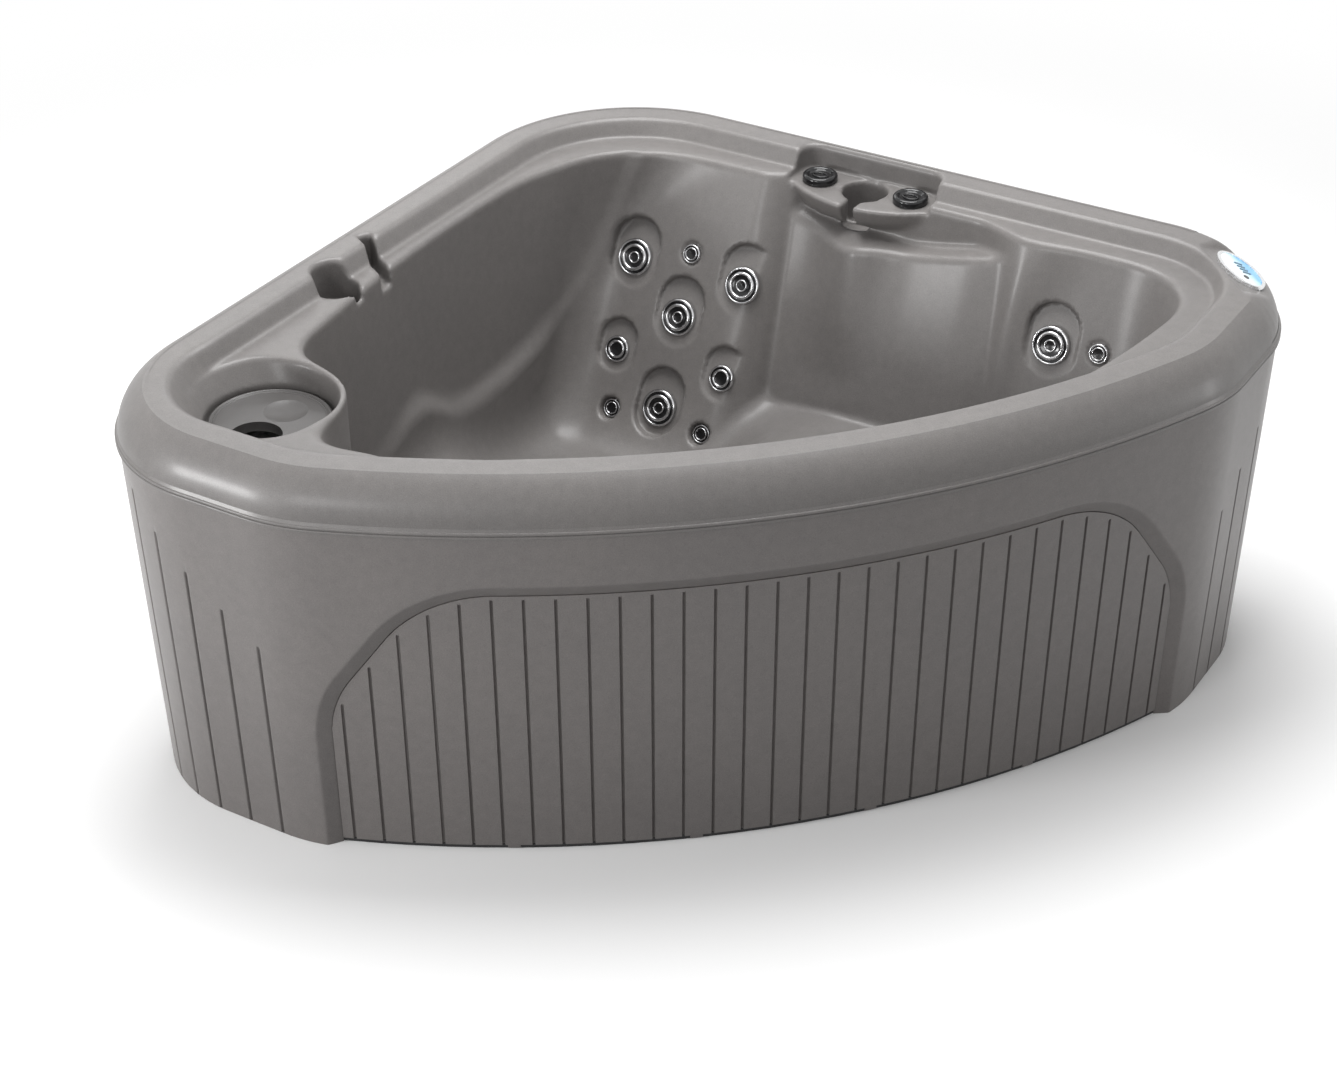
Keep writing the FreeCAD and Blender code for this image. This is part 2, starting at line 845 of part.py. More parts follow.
def filter_well(grow):
    """Stepped bore of the filter well: wide mouth, lid seat and the cartridge chamber."""
    middle = at(mm("filter_u"), mm("filter_v"))
    seat = FILTER_SEAT
    top = LEDGE if grow else LEDGE + 1
    mouth = mm("filter_mouth_radius")
    bore = mm("filter_bore_radius")
    if grow:
        low = mm("filter_floor_level") - grow
        return cylinder(mouth + grow, top - low, middle + vec(0, 0, low))
    throat = seat + mm("lid_height") + mm("lid_step")
    profile = [
        vec(0, 0, mm("filter_floor_level")),
        vec(mm("filter_seat_radius"), 0, mm("filter_floor_level")),
        vec(mm("filter_seat_radius"), 0, seat),
        vec(bore, 0, seat),
        vec(bore, 0, throat),
        vec(mouth, 0, LEDGE),
        vec(mouth, 0, top),
        vec(0, 0, top),
    ]
    solid = Part.Face(Part.makePolygon(profile + profile[:1])).revolve(vec(0, 0), UP, 360)
    return solid.translated(middle)


def filter_weir():
    """Water mouth through the basin side of the filter well, below the lid."""
    reach = mm("filter_mouth_radius") + WALL + 60
    width = mm("weir_width")
    top = FILTER_SEAT - mm("weir_drop")
    start = at(mm("filter_u"), mm("filter_v") - width / 2, top - mm("weir_height"))
    corners = [start, start + ALONG_U * reach]
    corners.append(corners[1] + ALONG_V * width)
    corners.append(start + ALONG_V * width)
    return prism(Part.makePolygon(corners + corners[:1]), mm("weir_height"))


def island_plan(back, z, grow):
    """Plan of the control island: straight ends and a rounded front toward the basin."""
    middle = mm("island_middle")
    half = mm("island_half_length") + grow
    radius = mm("island_front_radius") + grow
    centre_v = mm("island_front_inset") + grow - radius
    side_v = centre_v + math.sqrt(radius ** 2 - half ** 2)
    left = at(middle - half, side_v, z)
    right = at(middle + half, side_v, z)
    front = at(middle, centre_v + radius, z)
    return Part.Wire([
        Part.Arc(left, front, right).toShape(),
        Part.makeLine(right, at(middle + half, back, z)),
        Part.makeLine(at(middle + half, back, z), at(middle - half, back, z)),
        Part.makeLine(at(middle - half, back, z), left),
    ])


def island():
    """The control island: a block let into the wall, with a rounded hull over the basin."""
    foot = ISLAND - mm("island_depth")
    back = mm("island_back_inset")
    near = mm("island_middle") - mm("island_half_length")
    far = mm("island_middle") + mm("island_half_length")
    front = mm("basin_right_top")
    corners = [at(near, back, foot), at(far, back, foot), at(far, front, foot), at(near, front, foot)]
    block = prism(Part.makePolygon(corners + corners[:1]), mm("island_depth"))
    depth = mm("island_hull_depth")
    shrink = mm("island_hull_shrink")
    hull = loft([
        island_plan(back, ISLAND - depth, -shrink),
        island_plan(back, ISLAND - depth / 2, -shrink * mm("island_hull_turn")),
        island_plan(back, ISLAND, 0),
    ])
    return block.fuse(hull)


def niche(grow):
    """Room above the island, let into the rim."""
    middle = mm("island_middle")
    half = mm("island_half_length") + grow
    back = mm("niche_back_inset") - grow
    front = mm("island_front_inset") + 40
    level = ISLAND - grow
    corners = [
        at(middle - half, back, level), at(middle - half, front, level),
        at(middle + half, front, level), at(middle + half, back, level)]
    turn = mm("niche_round") + grow
    return prism(rounded_wire(corners, [turn, 0, 0, turn]), ABOVE - level)


def upright_box(corners, floor, top):
    """An upright prism over a plan polygon of (u, v) corners."""
    points = [at(u, v, floor) for u, v in corners]
    return prism(Part.makePolygon(points + points[:1]), top - floor)


def island_cup():
    """Cup holder in the island, with a notch in its side toward the basin."""
    u = mm("island_middle")
    v = mm("cup_inset")
    half = mm("cup_slot_width") / 2
    end = mm("island_front_inset") + WALL
    floor = ISLAND - mm("cup_depth")
    cup = cylinder(mm("cup_radius"), ABOVE - floor, at(u, v, floor))
    corners = [(u - half, v), (u + half, v), (u + half, end), (u - half, end)]
    return cup.fuse(upright_box(corners, ISLAND - mm("cup_slot_depth"), ABOVE))


def ledge_recess(grow):
    """Cup holder and bottle slot in the left ledge, both open to the basin."""
    cup = mm("ledge_cup_radius") + grow
    inset = mm("ledge_cup_inset")
    end = mm("basin_left_low") + WALL
    top = ABOVE if not grow else LEDGE - 1
    shapes = []
    for v, half, depth, start in (
            (mm("ledge_cup_reach"), mm("ledge_gate_width") / 2, mm("ledge_gate_depth"), inset),
            (mm("ledge_slot_reach"), mm("ledge_slot_width") / 2, mm("ledge_slot_depth"),
             mm("rim_flat_inner"))):
        low = v - half - grow
        high = v + half + grow
        corners = [(start - grow, low), (end, low), (end, high), (start - grow, high)]
        shapes.append(upright_box(corners, LEDGE - depth - grow, top))
    floor = LEDGE - mm("ledge_cup_depth") - grow
    shapes.append(cylinder(cup, top - floor, at(inset, mm("ledge_cup_reach"), floor)))
    return shapes


def rim_rise():
    """How far the shoulder's full round would stand above the flat top."""
    turn = mm("rim_round")
    flat = turn - mm("rim_flat_outer") + mm("bead_proud")
    return turn - math.sqrt(turn ** 2 - flat ** 2)


def shouldered(inset, foot, top, turn):
    """A block on the rim's outline whose round shoulder meets the flat top at a crease."""
    peak = top + rim_rise()
    block = prism(outline(inset, foot), peak - foot)
    edges = [edge for edge in block.Edges if edge.BoundBox.ZMin > peak - 0.01]
    return block.makeFillet(turn, edges).common(prism(outline(0, foot), top - foot))


def rim_block():
    """The rim's flat top and rounded shoulder, as a solid."""
    return shouldered(mm("bead_proud"), BEAD_FOOT, HEIGHT, mm("rim_round"))


def rim_skin():
    """The rim with its double bead, as a thin skin."""
    proud = mm("bead_proud")
    half = mm("bead_height") / 2
    beads = []
    for index in (0, 1):
        foot = BEAD_FOOT + index * half
        beads.append(loft([
            outline(proud / 2, foot), outline(0, foot + half / 2), outline(proud / 2, foot + half)]))
    hollow = shouldered(proud + WALL, BEAD_FOOT - 1, HEIGHT - WALL, mm("rim_round") - WALL)
    return joined([rim_block()] + beads).cut(hollow)


def topside_frame():
    """Placement on the rim's sloping facet at the right corner, X along the rim, Z out of it."""
    corner = corner_centre(
        RIGHT_WALL, WALL_REACH, RIGHT_RETURN, RETURN_REACH, mm("side_corner_radius"))
    tilt = math.radians(mm("topside_tilt"))
    run = mm("topside_hinge_inset") - mm("topside_inset")
    reach = mm("side_corner_radius") - mm("topside_hinge_inset")
    place = vec(
        corner.x + reach + run * math.cos(tilt),
        corner.y - mm("topside_shift"),
        HEIGHT - mm("topside_step") - run * math.sin(tilt))
    turn = FreeCAD.Rotation(vec(0, 1, 0), mm("topside_tilt"))
    along = turn.multiply(FreeCAD.Rotation(UP, -90))
    return FreeCAD.Placement(place, along)


def topside_facet():
    """Wedge that cuts the sloping facet for the topside control."""
    half = mm("topside_facet_half")
    deep = mm("topside_hinge_inset") + 40
    back = mm("topside_hinge_inset") - mm("topside_inset")
    wedge = Part.makeBox(2 * half, deep, 80, vec(-half, -back, 0))
    edges = [
        edge for edge in wedge.Edges
        if edge.BoundBox.ZMax < 0.01 and edge.BoundBox.XLength < 0.01]
    wedge = wedge.makeFillet(8, edges)
    wedge.Placement = topside_frame()
    return wedge


def topside_backing():
    """Wall under the sloping facet, where the facet is deeper than the rim's own skin."""
    half = mm("topside_facet_half") + WALL
    deep = mm("topside_hinge_inset") + 40
    back = mm("topside_hinge_inset") - mm("topside_inset")
    slab = Part.makeBox(2 * half, deep, WALL + 60, vec(-half, -back, -WALL))
    slab.Placement = topside_frame()
    return slab.common(rim_block())


def stadium(length, width, height, foot=0.0):
    """A long rounded plate, its length along X."""
    half = (length - width) / 2
    turn = width / 2
    wire = Part.Wire([
        Part.makeLine(vec(-half, -turn, foot), vec(half, -turn, foot)),
        Part.Arc(vec(half, -turn, foot), vec(half + turn, 0, foot), vec(half, turn, foot)).toShape(),
        Part.makeLine(vec(half, turn, foot), vec(-half, turn, foot)),
        Part.Arc(vec(-half, turn, foot), vec(-half - turn, 0, foot), vec(-half, -turn, foot)).toShape(),
    ])
    return prism(wire, height)


def oval(length, width, height, foot=0.0):
    """An elliptic plate, its length along X."""
    ellipse = Part.Ellipse(vec(0, 0, foot), length / 2, width / 2)
    return prism(Part.Wire(ellipse.toShape()), height)


def crown_radius(kind):
    return mm(f"{kind}_jet_radius") + mm("jet_crown_margin")


def crown_point(kind, place):
    """Middle of the taller end of a jet pocket, up the seat back from the jet."""
    axis = place.Rotation.multVec(UP)
    upward = (UP - axis * axis.z).normalize()
    return place.Base + upward * (mm(f"{kind}_jet_radius") * mm("jet_crown_rise"))


def jet_cuts():
    """Pockets in the seat backs and the holes through them."""
    cuts = []
    for kind, places in JET_KINDS.items():
        pocket = mm(f"{kind}_jet_radius") + mm("jet_pocket_margin")
        hole = mm(f"{kind}_jet_sleeve") + GAP
        for place in places:
            axis = place.Rotation.multVec(UP)
            cuts.append(cylinder(pocket, 60, place.Base, axis))
            cuts.append(cylinder(hole, 80, place.Base - axis * 40, axis))
            if kind != "small":
                cuts.append(cylinder(crown_radius(kind), 60, crown_point(kind, place), axis))
    return cuts


def jet_bosses():
    """Thickened wall behind each jet pocket."""
    bosses = []
    for kind, places in JET_KINDS.items():
        reach = mm(f"{kind}_jet_radius") + mm("jet_pocket_margin") + WALL
        for place in places:
            axis = place.Rotation.multVec(UP)
            bosses.append(cylinder(reach, 2 * WALL, place.Base - axis * WALL, axis))
            if kind != "small":
                start = crown_point(kind, place) - axis * WALL
                bosses.append(cylinder(crown_radius(kind) + WALL, 2 * WALL, start, axis))
    return bosses


SUCTION_SPOTS = []
for place in (mm("suction_u"), mm("suction_u") + mm("suction_pitch")):
    SUCTION_SPOTS.append(facing(at(place, mm("footwell_back"), mm("suction_level")), ALONG_V))
DRAIN_SPOT = at(
    (mm("footwell_left") + mm("footwell_reach")) / 2 - mm("drain_offset"),
    mm("footwell_back") + mm("drain_reach"),
    mm("footwell_height"))
KNOB_SPOTS = {
    "air_knob_left": at(mm("island_middle") - mm("knob_spread"), mm("knob_inset"), ISLAND),
    "air_knob_right": at(mm("island_middle") + mm("knob_spread"), mm("knob_inset"), ISLAND),
}


def within_walls(grow):
    """Everything inside the basin's walls at their top, where the seats are let in."""
    top = HEIGHT - WALL / 2 if grow else ABOVE
    return prism(basin_wire(0, grow, 0), top)


def seats(grow):
    """The hollows of both seats, kept inside the walls."""
    return [lounge(grow).common(within_walls(grow)), corner_seat(grow).common(within_walls(grow))]


def tub_shell():
    outside = [rim_skin(), rim_opening(WALL, HEIGHT - WALL / 2), basin(WALL), footwell(WALL)]
    outside += seats(WALL)
    outside += jet_bosses()
    outside += ledge_recess(WALL)
    outside += [topside_backing(), niche(WALL).common(rim_block())]
    shell = joined(outside)
    shell = shell.cut([basin(0), footwell(0)] + seats(0))
    shell = shell.fuse([filter_well(WALL), island()])
    cuts = [rim_opening(0, ABOVE), filter_well(0), filter_weir(), niche(0), topside_facet(), island_cup()]
    cuts += ledge_recess(0)
    cuts += jet_cuts()
    through = mm("shell_cut")
    for place in SUCTION_SPOTS:
        start = place.Base - ALONG_V * (through / 2)
        cuts.append(cylinder(mm("suction_tail_radius") + GAP, through, start, ALONG_V))
    half = vec(0, 0, through / 2)
    cuts.append(cylinder(mm("drain_bore") + GAP, through, DRAIN_SPOT - half))
    pot_floor = at(mm("filter_u"), mm("filter_v"), mm("filter_floor_level"))
    cuts.append(cylinder(mm("filter_tail_radius") + GAP, through, pot_floor - half))
    for spot in KNOB_SPOTS.values():
        start = spot - vec(0, 0, 2 * mm("air_valve_depth"))
        cuts.append(cylinder(mm("air_valve_radius") + GAP, 3 * mm("air_valve_depth"), start))
    return in_zones(shell.cut(cuts).removeSplitter())


def upright(start, end, low, high):
    """An upright flat face between two plan points."""
    corners = [vec(p.x, p.y, z) for p, z in ((start, low), (end, low), (end, high), (start, high))]
    return Part.Face(Part.makePolygon(corners + corners[:1]))


def pot_zones(pot, radius):
    """Faces that part the filter pot, and the rim round it, into sectors."""
    floor = mm("filter_floor_level")
    wire = Part.Wire(Part.makeCircle(radius, pot))
    faces = [
        Part.Face(wire.translated(vec(0, 0, floor))),
        Part.Face(wire.translated(vec(0, 0, FILTER_SEAT))),
        wire.extrude(vec(0, 0, ABOVE)),
    ]
    count = int(mm("zone_sectors"))
    for index in range(count):
        turn = 2 * math.pi * index / count
        ray = ALONG_U * math.cos(turn) + ALONG_V * math.sin(turn)
        edge = pot + ray * radius
        faces.append(upright(pot, edge, FILTER_SEAT, ABOVE))
        if index % 2 == 0:
            faces.append(upright(pot, edge, floor, FILTER_SEAT))
        toward_rim = (ALONG_V - ALONG_U).normalize().dot(ray)
        if toward_rim > 0:
            faces.append(upright(edge, pot + ray * mm("zone_rim_reach"), mm("zone_level"), ABOVE))
    return faces


def ledge_zones(end):
    """Faces that part the left ledge round its cup holder and its slot."""
    far = mm("wall_side")
    level = mm("zone_level")
    room = WALL + mm("zone_margin")
    cup = mm("ledge_cup_reach")
    cup_half = mm("ledge_cup_radius") + room
    slot = mm("ledge_slot_reach")
    slot_half = mm("ledge_slot_width") / 2 + room
    faces = []
    for v in (cup - cup_half, cup, cup + cup_half, slot - slot_half, slot, slot + slot_half):
        faces.append(upright(at(-far, v), at(end, v), level, ABOVE))
    u = mm("ledge_cup_inset")
    faces.append(upright(at(u, cup - cup_half), at(u, cup + cup_half), level, ABOVE))
    return faces


def in_zones(shell):
    """The one-piece shell parted along its seats, rim and filter pot into simpler solids."""
    far = 2 * mm("wall_side")
    lounge_side = mm("zone_lounge")
    seat_side = mm("zone_seat")
    level = mm("zone_level")
    pot = at(mm("filter_u"), mm("filter_v"))
    pot_radius = mm("filter_mouth_radius") + WALL + mm("zone_margin")
    pot_wire = Part.Wire(Part.makeCircle(pot_radius, pot + vec(0, 0, level)))
    corners = [vec(x * far, y * far, level) for x, y in ((-1, -1), (1, -1), (1, 1), (-1, 1))]
    faces = [
        Part.Face(Part.makePolygon(corners + corners[:1])).cut(Part.Face(pot_wire)),
        upright(at(lounge_side, -far), at(lounge_side, far), 0, ABOVE),
        upright(at(seat_side, -far), at(seat_side, far), 0, ABOVE),
        upright(at(-far, mm("zone_back")), at(lounge_side, mm("zone_back")), 0, ABOVE),
        upright(at(-far, mm("zone_corner")), at(lounge_side, mm("zone_corner")), 0, ABOVE),
        upright(at(lounge_side, mm("zone_island")), at(seat_side, mm("zone_island")), 0, ABOVE),
    ]
    middle = mm("island_middle")
    faces.append(upright(at(middle, -far), at(middle, mm("zone_island")), level, ABOVE))
    faces += pot_zones(pot, pot_radius)
    faces += ledge_zones(lounge_side)
    return SplitAPI.slice(shell, faces, "Split")


feature("tub_shell", tub_shell())


# Cabinet skirt, access panel and base


def skirt_inset(z):
    """How far in the tapered skirt stands at one level."""
    foot = mm("skirt_foot_inset")
    return foot + (mm("skirt_top_inset") - foot) * z / BEAD_FOOT


def skirt_layer(sink, low, high):
    """A solid bounded by the skirt's tapered face, moved in by one distance."""
    return loft([outline(skirt_inset(low) + sink, low), outline(skirt_inset(high) + sink, high)])


def arch(shrink):
    """The arched front opening, run along Y through the front wall only."""
    side = mm("arch_half_width")
    points = [
        (-side, -50), (side, -50), (side, mm("arch_shoulder")), (mm("arch_top_half"), ARCH_TOP),
        (-mm("arch_top_half"), ARCH_TOP), (-side, mm("arch_shoulder"))]
    low = mm("arch_lower_round")
    high = mm("arch_upper_round")
    points, radii = grown_polygon(points, [0, 0, low, high, high, low], -shrink)
    front = BOW_Y - mm("bow_radius")
    corners = [vec(x, front - 100, z) for x, z in points]
    return Part.Face(rounded_wire(corners, radii)).extrude(vec(0, 450, 0))


def groove(point, outward, width, depth, low, high, sink):
    """A straight groove down a tapered face, at a plan point that lies on the rim's widest line."""
    across = vec(-outward.y, outward.x)
    corners = []
    for z, deep in ((low, -2), (low, depth), (high, depth), (high, -2)):
        reach = skirt_inset(z) + sink + deep
        corners.append(point - outward * reach - across * (width / 2) + vec(0, 0, z))
    return Part.Face(Part.makePolygon(corners + corners[:1])).extrude(across * width)


def pillar_point(reach, side):
    """Point and outward direction on the return side, measured round from its front end."""
    straight = mm("return_side") - mm("side_corner_radius")
    start = vec(
        (mm("wall_side") - mm("return_side")) * DIAGONAL,
        APEX_Y - (mm("wall_side") + mm("return_side")) * DIAGONAL)
    along = vec(DIAGONAL, DIAGONAL)
    point = start + along * min(reach, straight)
    outward = RIGHT_RETURN
    if reach > straight:
        turn = (reach - straight) / mm("side_corner_radius")
        centre = start + along * straight - RIGHT_RETURN * mm("side_corner_radius")
        outward = RIGHT_RETURN * math.cos(turn) + along * math.sin(turn)
        point = centre + outward * mm("side_corner_radius")
    return vec(point.x * side, point.y), vec(outward.x * side, outward.y)


def cabinet_skirt():
    wall = mm("skirt_wall")
    skirt = skirt_layer(0, 0, BEAD_FOOT).cut(skirt_layer(wall, -5, BEAD_FOOT + 5)).cut(arch(0))
    cuts = []
    for side in (-1, 1):
        for index in range(int(mm("pillar_groove_count"))):
            point, outward = pillar_point(
                mm("pillar_groove_start") + index * mm("pillar_groove_pitch"), side)
            top = BEAD_FOOT - mm("pillar_groove_drop") + index * mm("pillar_groove_step")
            cuts.append(groove(
                point, outward, mm("pillar_groove_width"), mm("pillar_groove_depth"), -2, top, 0))
    cuts.append(cylinder(mm("gland_radius") + GAP, 60, GLAND.Base - GLAND_AXIS * 30, GLAND_AXIS))
    return skirt.cut(cuts)


def access_panel():
    sink = mm("panel_sink")
    wall = mm("panel_wall")
    low = mm("panel_floor_gap")
    top = ARCH_TOP
    sheet_solid = skirt_layer(sink, low, top).cut(skirt_layer(sink + wall, low - 1, top + 1))
    panel = sheet_solid.common(arch(mm("panel_gap")))
    tabs = []
    for index in range(4):
        angle = (index - 1.5) * mm("panel_tab_pitch") / mm("bow_radius")
        outward = vec(math.sin(angle), -math.cos(angle))
        point = vec(0, BOW_Y) + outward * mm("bow_radius")
        width = mm("panel_tab_width")
        across = vec(-outward.y, outward.x)
        corners = [
            point - outward * (skirt_inset(0) + sink + deep) + across * (width * half)
            for deep, half in ((1, -0.5), (wall - 1, -0.5), (wall - 1, 0.5), (1, 0.5))]
        tabs.append(prism(Part.makePolygon(corners + corners[:1]), low + 3))
    panel = joined([panel] + tabs)
    cuts = []
    count = int(mm("panel_groove_count"))
    for index in range(count):
        angle = (index - (count - 1) / 2) * mm("panel_groove_pitch") / mm("bow_radius")
        outward = vec(math.sin(angle), -math.cos(angle))
        point = vec(0, BOW_Y) + outward * mm("bow_radius")
        cuts.append(groove(
            point, outward, mm("panel_groove_width"), mm("panel_groove_depth"), -2, top, sink))
    return panel.cut(Part.makeCompound(cuts).common(arch(mm("panel_groove_margin"))))


SKIRT_LEAN = math.atan((mm("skirt_foot_inset") - mm("skirt_top_inset")) / BEAD_FOOT)
GLAND_AXIS = LEFT_WALL * math.cos(SKIRT_LEAN) - UP * math.sin(SKIRT_LEAN)
GLAND = facing(
    at(skirt_inset(mm("gland_level")), mm("gland_reach"), mm("gland_level")), GLAND_AXIS)

feature("cabinet_skirt", cabinet_skirt())
feature("access_panel", access_panel())


def footwell_riser():
    left = mm("footwell_left")
    back = mm("footwell_back")
    front = mm("footwell_front")
    reach = mm("footwell_reach")
    points = [(left, back), (reach, back), (reach, front - reach), (left, front - left)]
    points, radii = grown_polygon(points, [mm("footwell_round")] * 4, -mm("riser_margin"))
    corners = [at(u, v, mm("base_height")) for u, v in points]
    block = prism(rounded_wire(corners, radii), mm("footwell_height") - WALL - mm("base_height"))
    room = mm("drain_radius") + mm("riser_drain_room")
    return block.cut(cylinder(room, HEIGHT, vec(DRAIN_SPOT.x, DRAIN_SPOT.y, 0)))


feature("base_pan", prism(outline(mm("base_inset"), 0), mm("base_height")))
feature("footwell_riser", footwell_riser())

foot = mm("base_height")
post = mm("post_radius")
posts = []
for seat in ("lounge", "seat"):
    level = mm("lounge_seat_height") if seat == "lounge" else mm("seat_height")
    for side in (-1, 1):
        stand = at(mm(f"{seat}_middle") + side * mm("post_spread"), mm(f"{seat}_post_reach"), foot)
        posts.append(cylinder(post, level - WALL - foot, stand))
feature("seat_posts", Part.makeCompound(posts))


# Jets

FACE_FOOT = "seat_gap * 2 + jet_flange"
HUB_DEPTH = "0 - jet_hub_depth"


def jet_body(kind):
    sleeve = f"{kind}_jet_sleeve"
    return turned(f"{kind}_jet_body_master", [
        (f"{sleeve} - jet_sleeve_wall", "0 - jet_tail"),
        (sleeve, "0 - jet_tail"),
        (sleeve, "seat_gap"),
        (f"{kind}_jet_radius - jet_edge", "seat_gap"),
        (f"{kind}_jet_radius - jet_edge", "seat_gap + jet_flange"),
        (f"{sleeve} - jet_sleeve_wall", "seat_gap + jet_flange"),
    ], keep=False)


def jet_nut(kind):
    sleeve = f"{kind}_jet_sleeve"
    back = "0 - shell_wall - seat_gap"
    return turned(f"{kind}_jet_nut_master", [
        (f"{sleeve} + seat_gap", f"{back} - jet_nut_height"),
        (f"{sleeve} + jet_nut_margin", f"{back} - jet_nut_height"),
        (f"{sleeve} + jet_nut_margin", back),
        (f"{sleeve} + seat_gap", back),
    ], keep=False)


def jet_face(label, kind, keep=True):
    """Escutcheon with a raised ring, on a hub that turns in the jet body."""
    rim = f"{kind}_jet_radius"
    hub = f"{kind}_jet_sleeve - jet_sleeve_wall - seat_gap"
    bore = f"{kind}_jet_sleeve * 0.45"
    return turned(label, [
        (bore, HUB_DEPTH),
        (hub, HUB_DEPTH),
        (hub, FACE_FOOT),
        (rim, FACE_FOOT),
        (rim, f"{FACE_FOOT} + jet_edge"),
        (f"{rim} * 0.86", f"{FACE_FOOT} + jet_face_height * 0.8"),
        (f"{rim} * 0.7", f"{FACE_FOOT} + jet_face_height"),
        (f"{rim} * 0.56", f"{FACE_FOOT} + jet_face_height * 0.8"),
        (f"{rim} * 0.46", f"{FACE_FOOT} + jet_dish"),
        (bore, f"{FACE_FOOT} + jet_dish"),
    ], keep)


def jet_nozzle(kind):
    outer = f"{kind}_jet_sleeve * 0.45 - seat_gap"
    return turned(f"{kind}_jet_nozzle_master", [
        (f"{outer} - jet_nozzle_wall", HUB_DEPTH),
        (outer, HUB_DEPTH),
        (outer, f"{FACE_FOOT} + jet_nozzle_rise * 0.7"),
        (f"{outer} - jet_nozzle_wall / 2", f"{FACE_FOOT} + jet_nozzle_rise"),
        (f"{outer} - jet_nozzle_wall", f"{FACE_FOOT} + jet_nozzle_rise"),
    ], keep=False)


for label, place in LARGE_JETS.items():
    jet_face(label, "large").Placement = place
for label, place in MEDIUM_JETS.items():
    jet_face(label, "medium").Placement = place
group("small_jet_faces", jet_face("small_jet_face_master", "small", keep=False), SMALL_JETS)
for kind, places in JET_KINDS.items():
    group(f"{kind}_jet_bodies", jet_body(kind), places)
    group(f"{kind}_jet_nuts", jet_nut(kind), places)
group("large_jet_nozzles", jet_nozzle("large"), JET_KINDS["large"])
group("medium_jet_nozzles", jet_nozzle("medium"), JET_KINDS["medium"])


# Air controls

valve = turned("air_valve_master", [
    ("knob_stem_radius + seat_gap", "0 - air_valve_depth"),
    ("air_valve_radius", "0 - air_valve_depth"),
    ("air_valve_radius", "seat_gap"),
    ("air_valve_flange", "seat_gap"),
    ("air_valve_flange", FACE_FOOT + " - seat_gap"),
    ("knob_stem_radius + seat_gap", FACE_FOOT + " - seat_gap"),
], keep=False)
group("air_valve_bodies", valve, [facing(spot, UP) for spot in KNOB_SPOTS.values()])


knob = turned("air_knob_master", [
    ("0", "0 - knob_stem"),
    ("knob_stem_radius", "0 - knob_stem"),
    ("knob_stem_radius", FACE_FOOT),
    ("knob_radius", FACE_FOOT),
    ("knob_radius", FACE_FOOT + " + knob_height * 0.7"),
    ("knob_radius - knob_edge", FACE_FOOT + " + knob_height"),
    ("0", FACE_FOOT + " + knob_height"),
], keep=False)
doc.recompute()


def air_knob(spot):
    """Round knob with an oval finger hollow across its top."""
    top = float(sheet.evalExpression(FACE_FOOT)) + mm("knob_height")
    depth = mm("knob_grip_depth")
    grip = oval(mm("knob_grip_length"), mm("knob_grip_width"), 2 * depth, top - depth)
    grip.rotate(vec(0, 0), UP, -45)
    return knob.Shape.cut(grip).translated(spot)


for label, spot in KNOB_SPOTS.items():
    feature(label, air_knob(spot))


# Filter

FILTER_PLACE = at(mm("filter_u"), mm("filter_v"))


def filter_lid():
    """Stepped lid with a half-moon finger hole and a shallow scoop."""
    height = mm("lid_height")
    radius = mm("lid_radius")
    step = mm("lid_step")
    band = mm("lid_band")
    disc = cylinder(radius, height - step, vec(0, 0)).fuse(cylinder(radius - band, height, vec(0, 0)))
    moon = mm("lid_finger_radius")
    centre = vec(mm("lid_finger_x"), mm("lid_finger_y"), -1)
    hole = cylinder(moon, height + 2, centre)
    flat = mm("lid_finger_flat")
    hole = hole.common(Part.makeBox(2 * moon, moon + flat, height + 2, centre - vec(moon, flat, 0)))
    bowl = mm("lid_scoop_radius")
    sink = mm("lid_scoop_depth")
    ball = (bowl * bowl + sink * sink) / (2 * sink)
    scoop = Part.makeSphere(ball, vec(mm("lid_scoop_x"), mm("lid_scoop_y"), height - sink + ball))
    return disc.cut([hole, scoop]).translated(FILTER_PLACE + vec(0, 0, FILTER_SEAT))


def filter_cartridge():
    """Pleated cartridge between two end caps, open down its middle."""
    low = mm("filter_floor_level") + mm("cartridge_cap")
    cap = mm("cartridge_cap")
    pleats = int(mm("cartridge_pleats"))
    outer = mm("cartridge_radius")
    corners = []
    for index in range(2 * pleats):
        turn = math.pi * index / pleats
        radius = outer - (index % 2) * mm("cartridge_pleat_depth")
        corners.append(vec(radius * math.cos(turn), radius * math.sin(turn), cap))
    length = FILTER_SEAT - low - mm("cartridge_room") - 2 * cap
    core = prism(Part.makePolygon(corners + corners[:1]), length)
    lip = outer + mm("cartridge_lip")
    foot_cap = cylinder(lip, cap, vec(0, 0))
    head_cap = cylinder(lip, cap, vec(0, 0, length + cap))
    body = joined([foot_cap, core, head_cap])
    body = body.cut(cylinder(mm("standpipe_radius") + mm("standpipe_play"), length + 2 * cap, vec(0, 0)))
    return body.translated(FILTER_PLACE + vec(0, 0, low))


feature("filter_lid", filter_lid())
feature("filter_cartridge", filter_cartridge())
spigot = turned("filter_spigot", [
    ("filter_tail_radius - spigot_wall", "0 - filter_tail"),
    ("filter_tail_radius", "0 - filter_tail"),
    ("filter_tail_radius", "seat_gap"),
    ("cartridge_radius", "seat_gap"),
    ("cartridge_radius", "cartridge_cap - seat_gap"),
    ("standpipe_radius", "cartridge_cap - seat_gap"),
    ("standpipe_radius", "cartridge_cap + standpipe_rise"),
    ("filter_tail_radius - spigot_wall", "cartridge_cap + standpipe_rise"),
])
spigot.Placement = facing(FILTER_PLACE + vec(0, 0, mm("filter_floor_level")), UP)


# Topside control

TOPSIDE = topside_frame()


def on_topside(shape):
    shape.Placement = TOPSIDE.multiply(shape.Placement)
    return shape


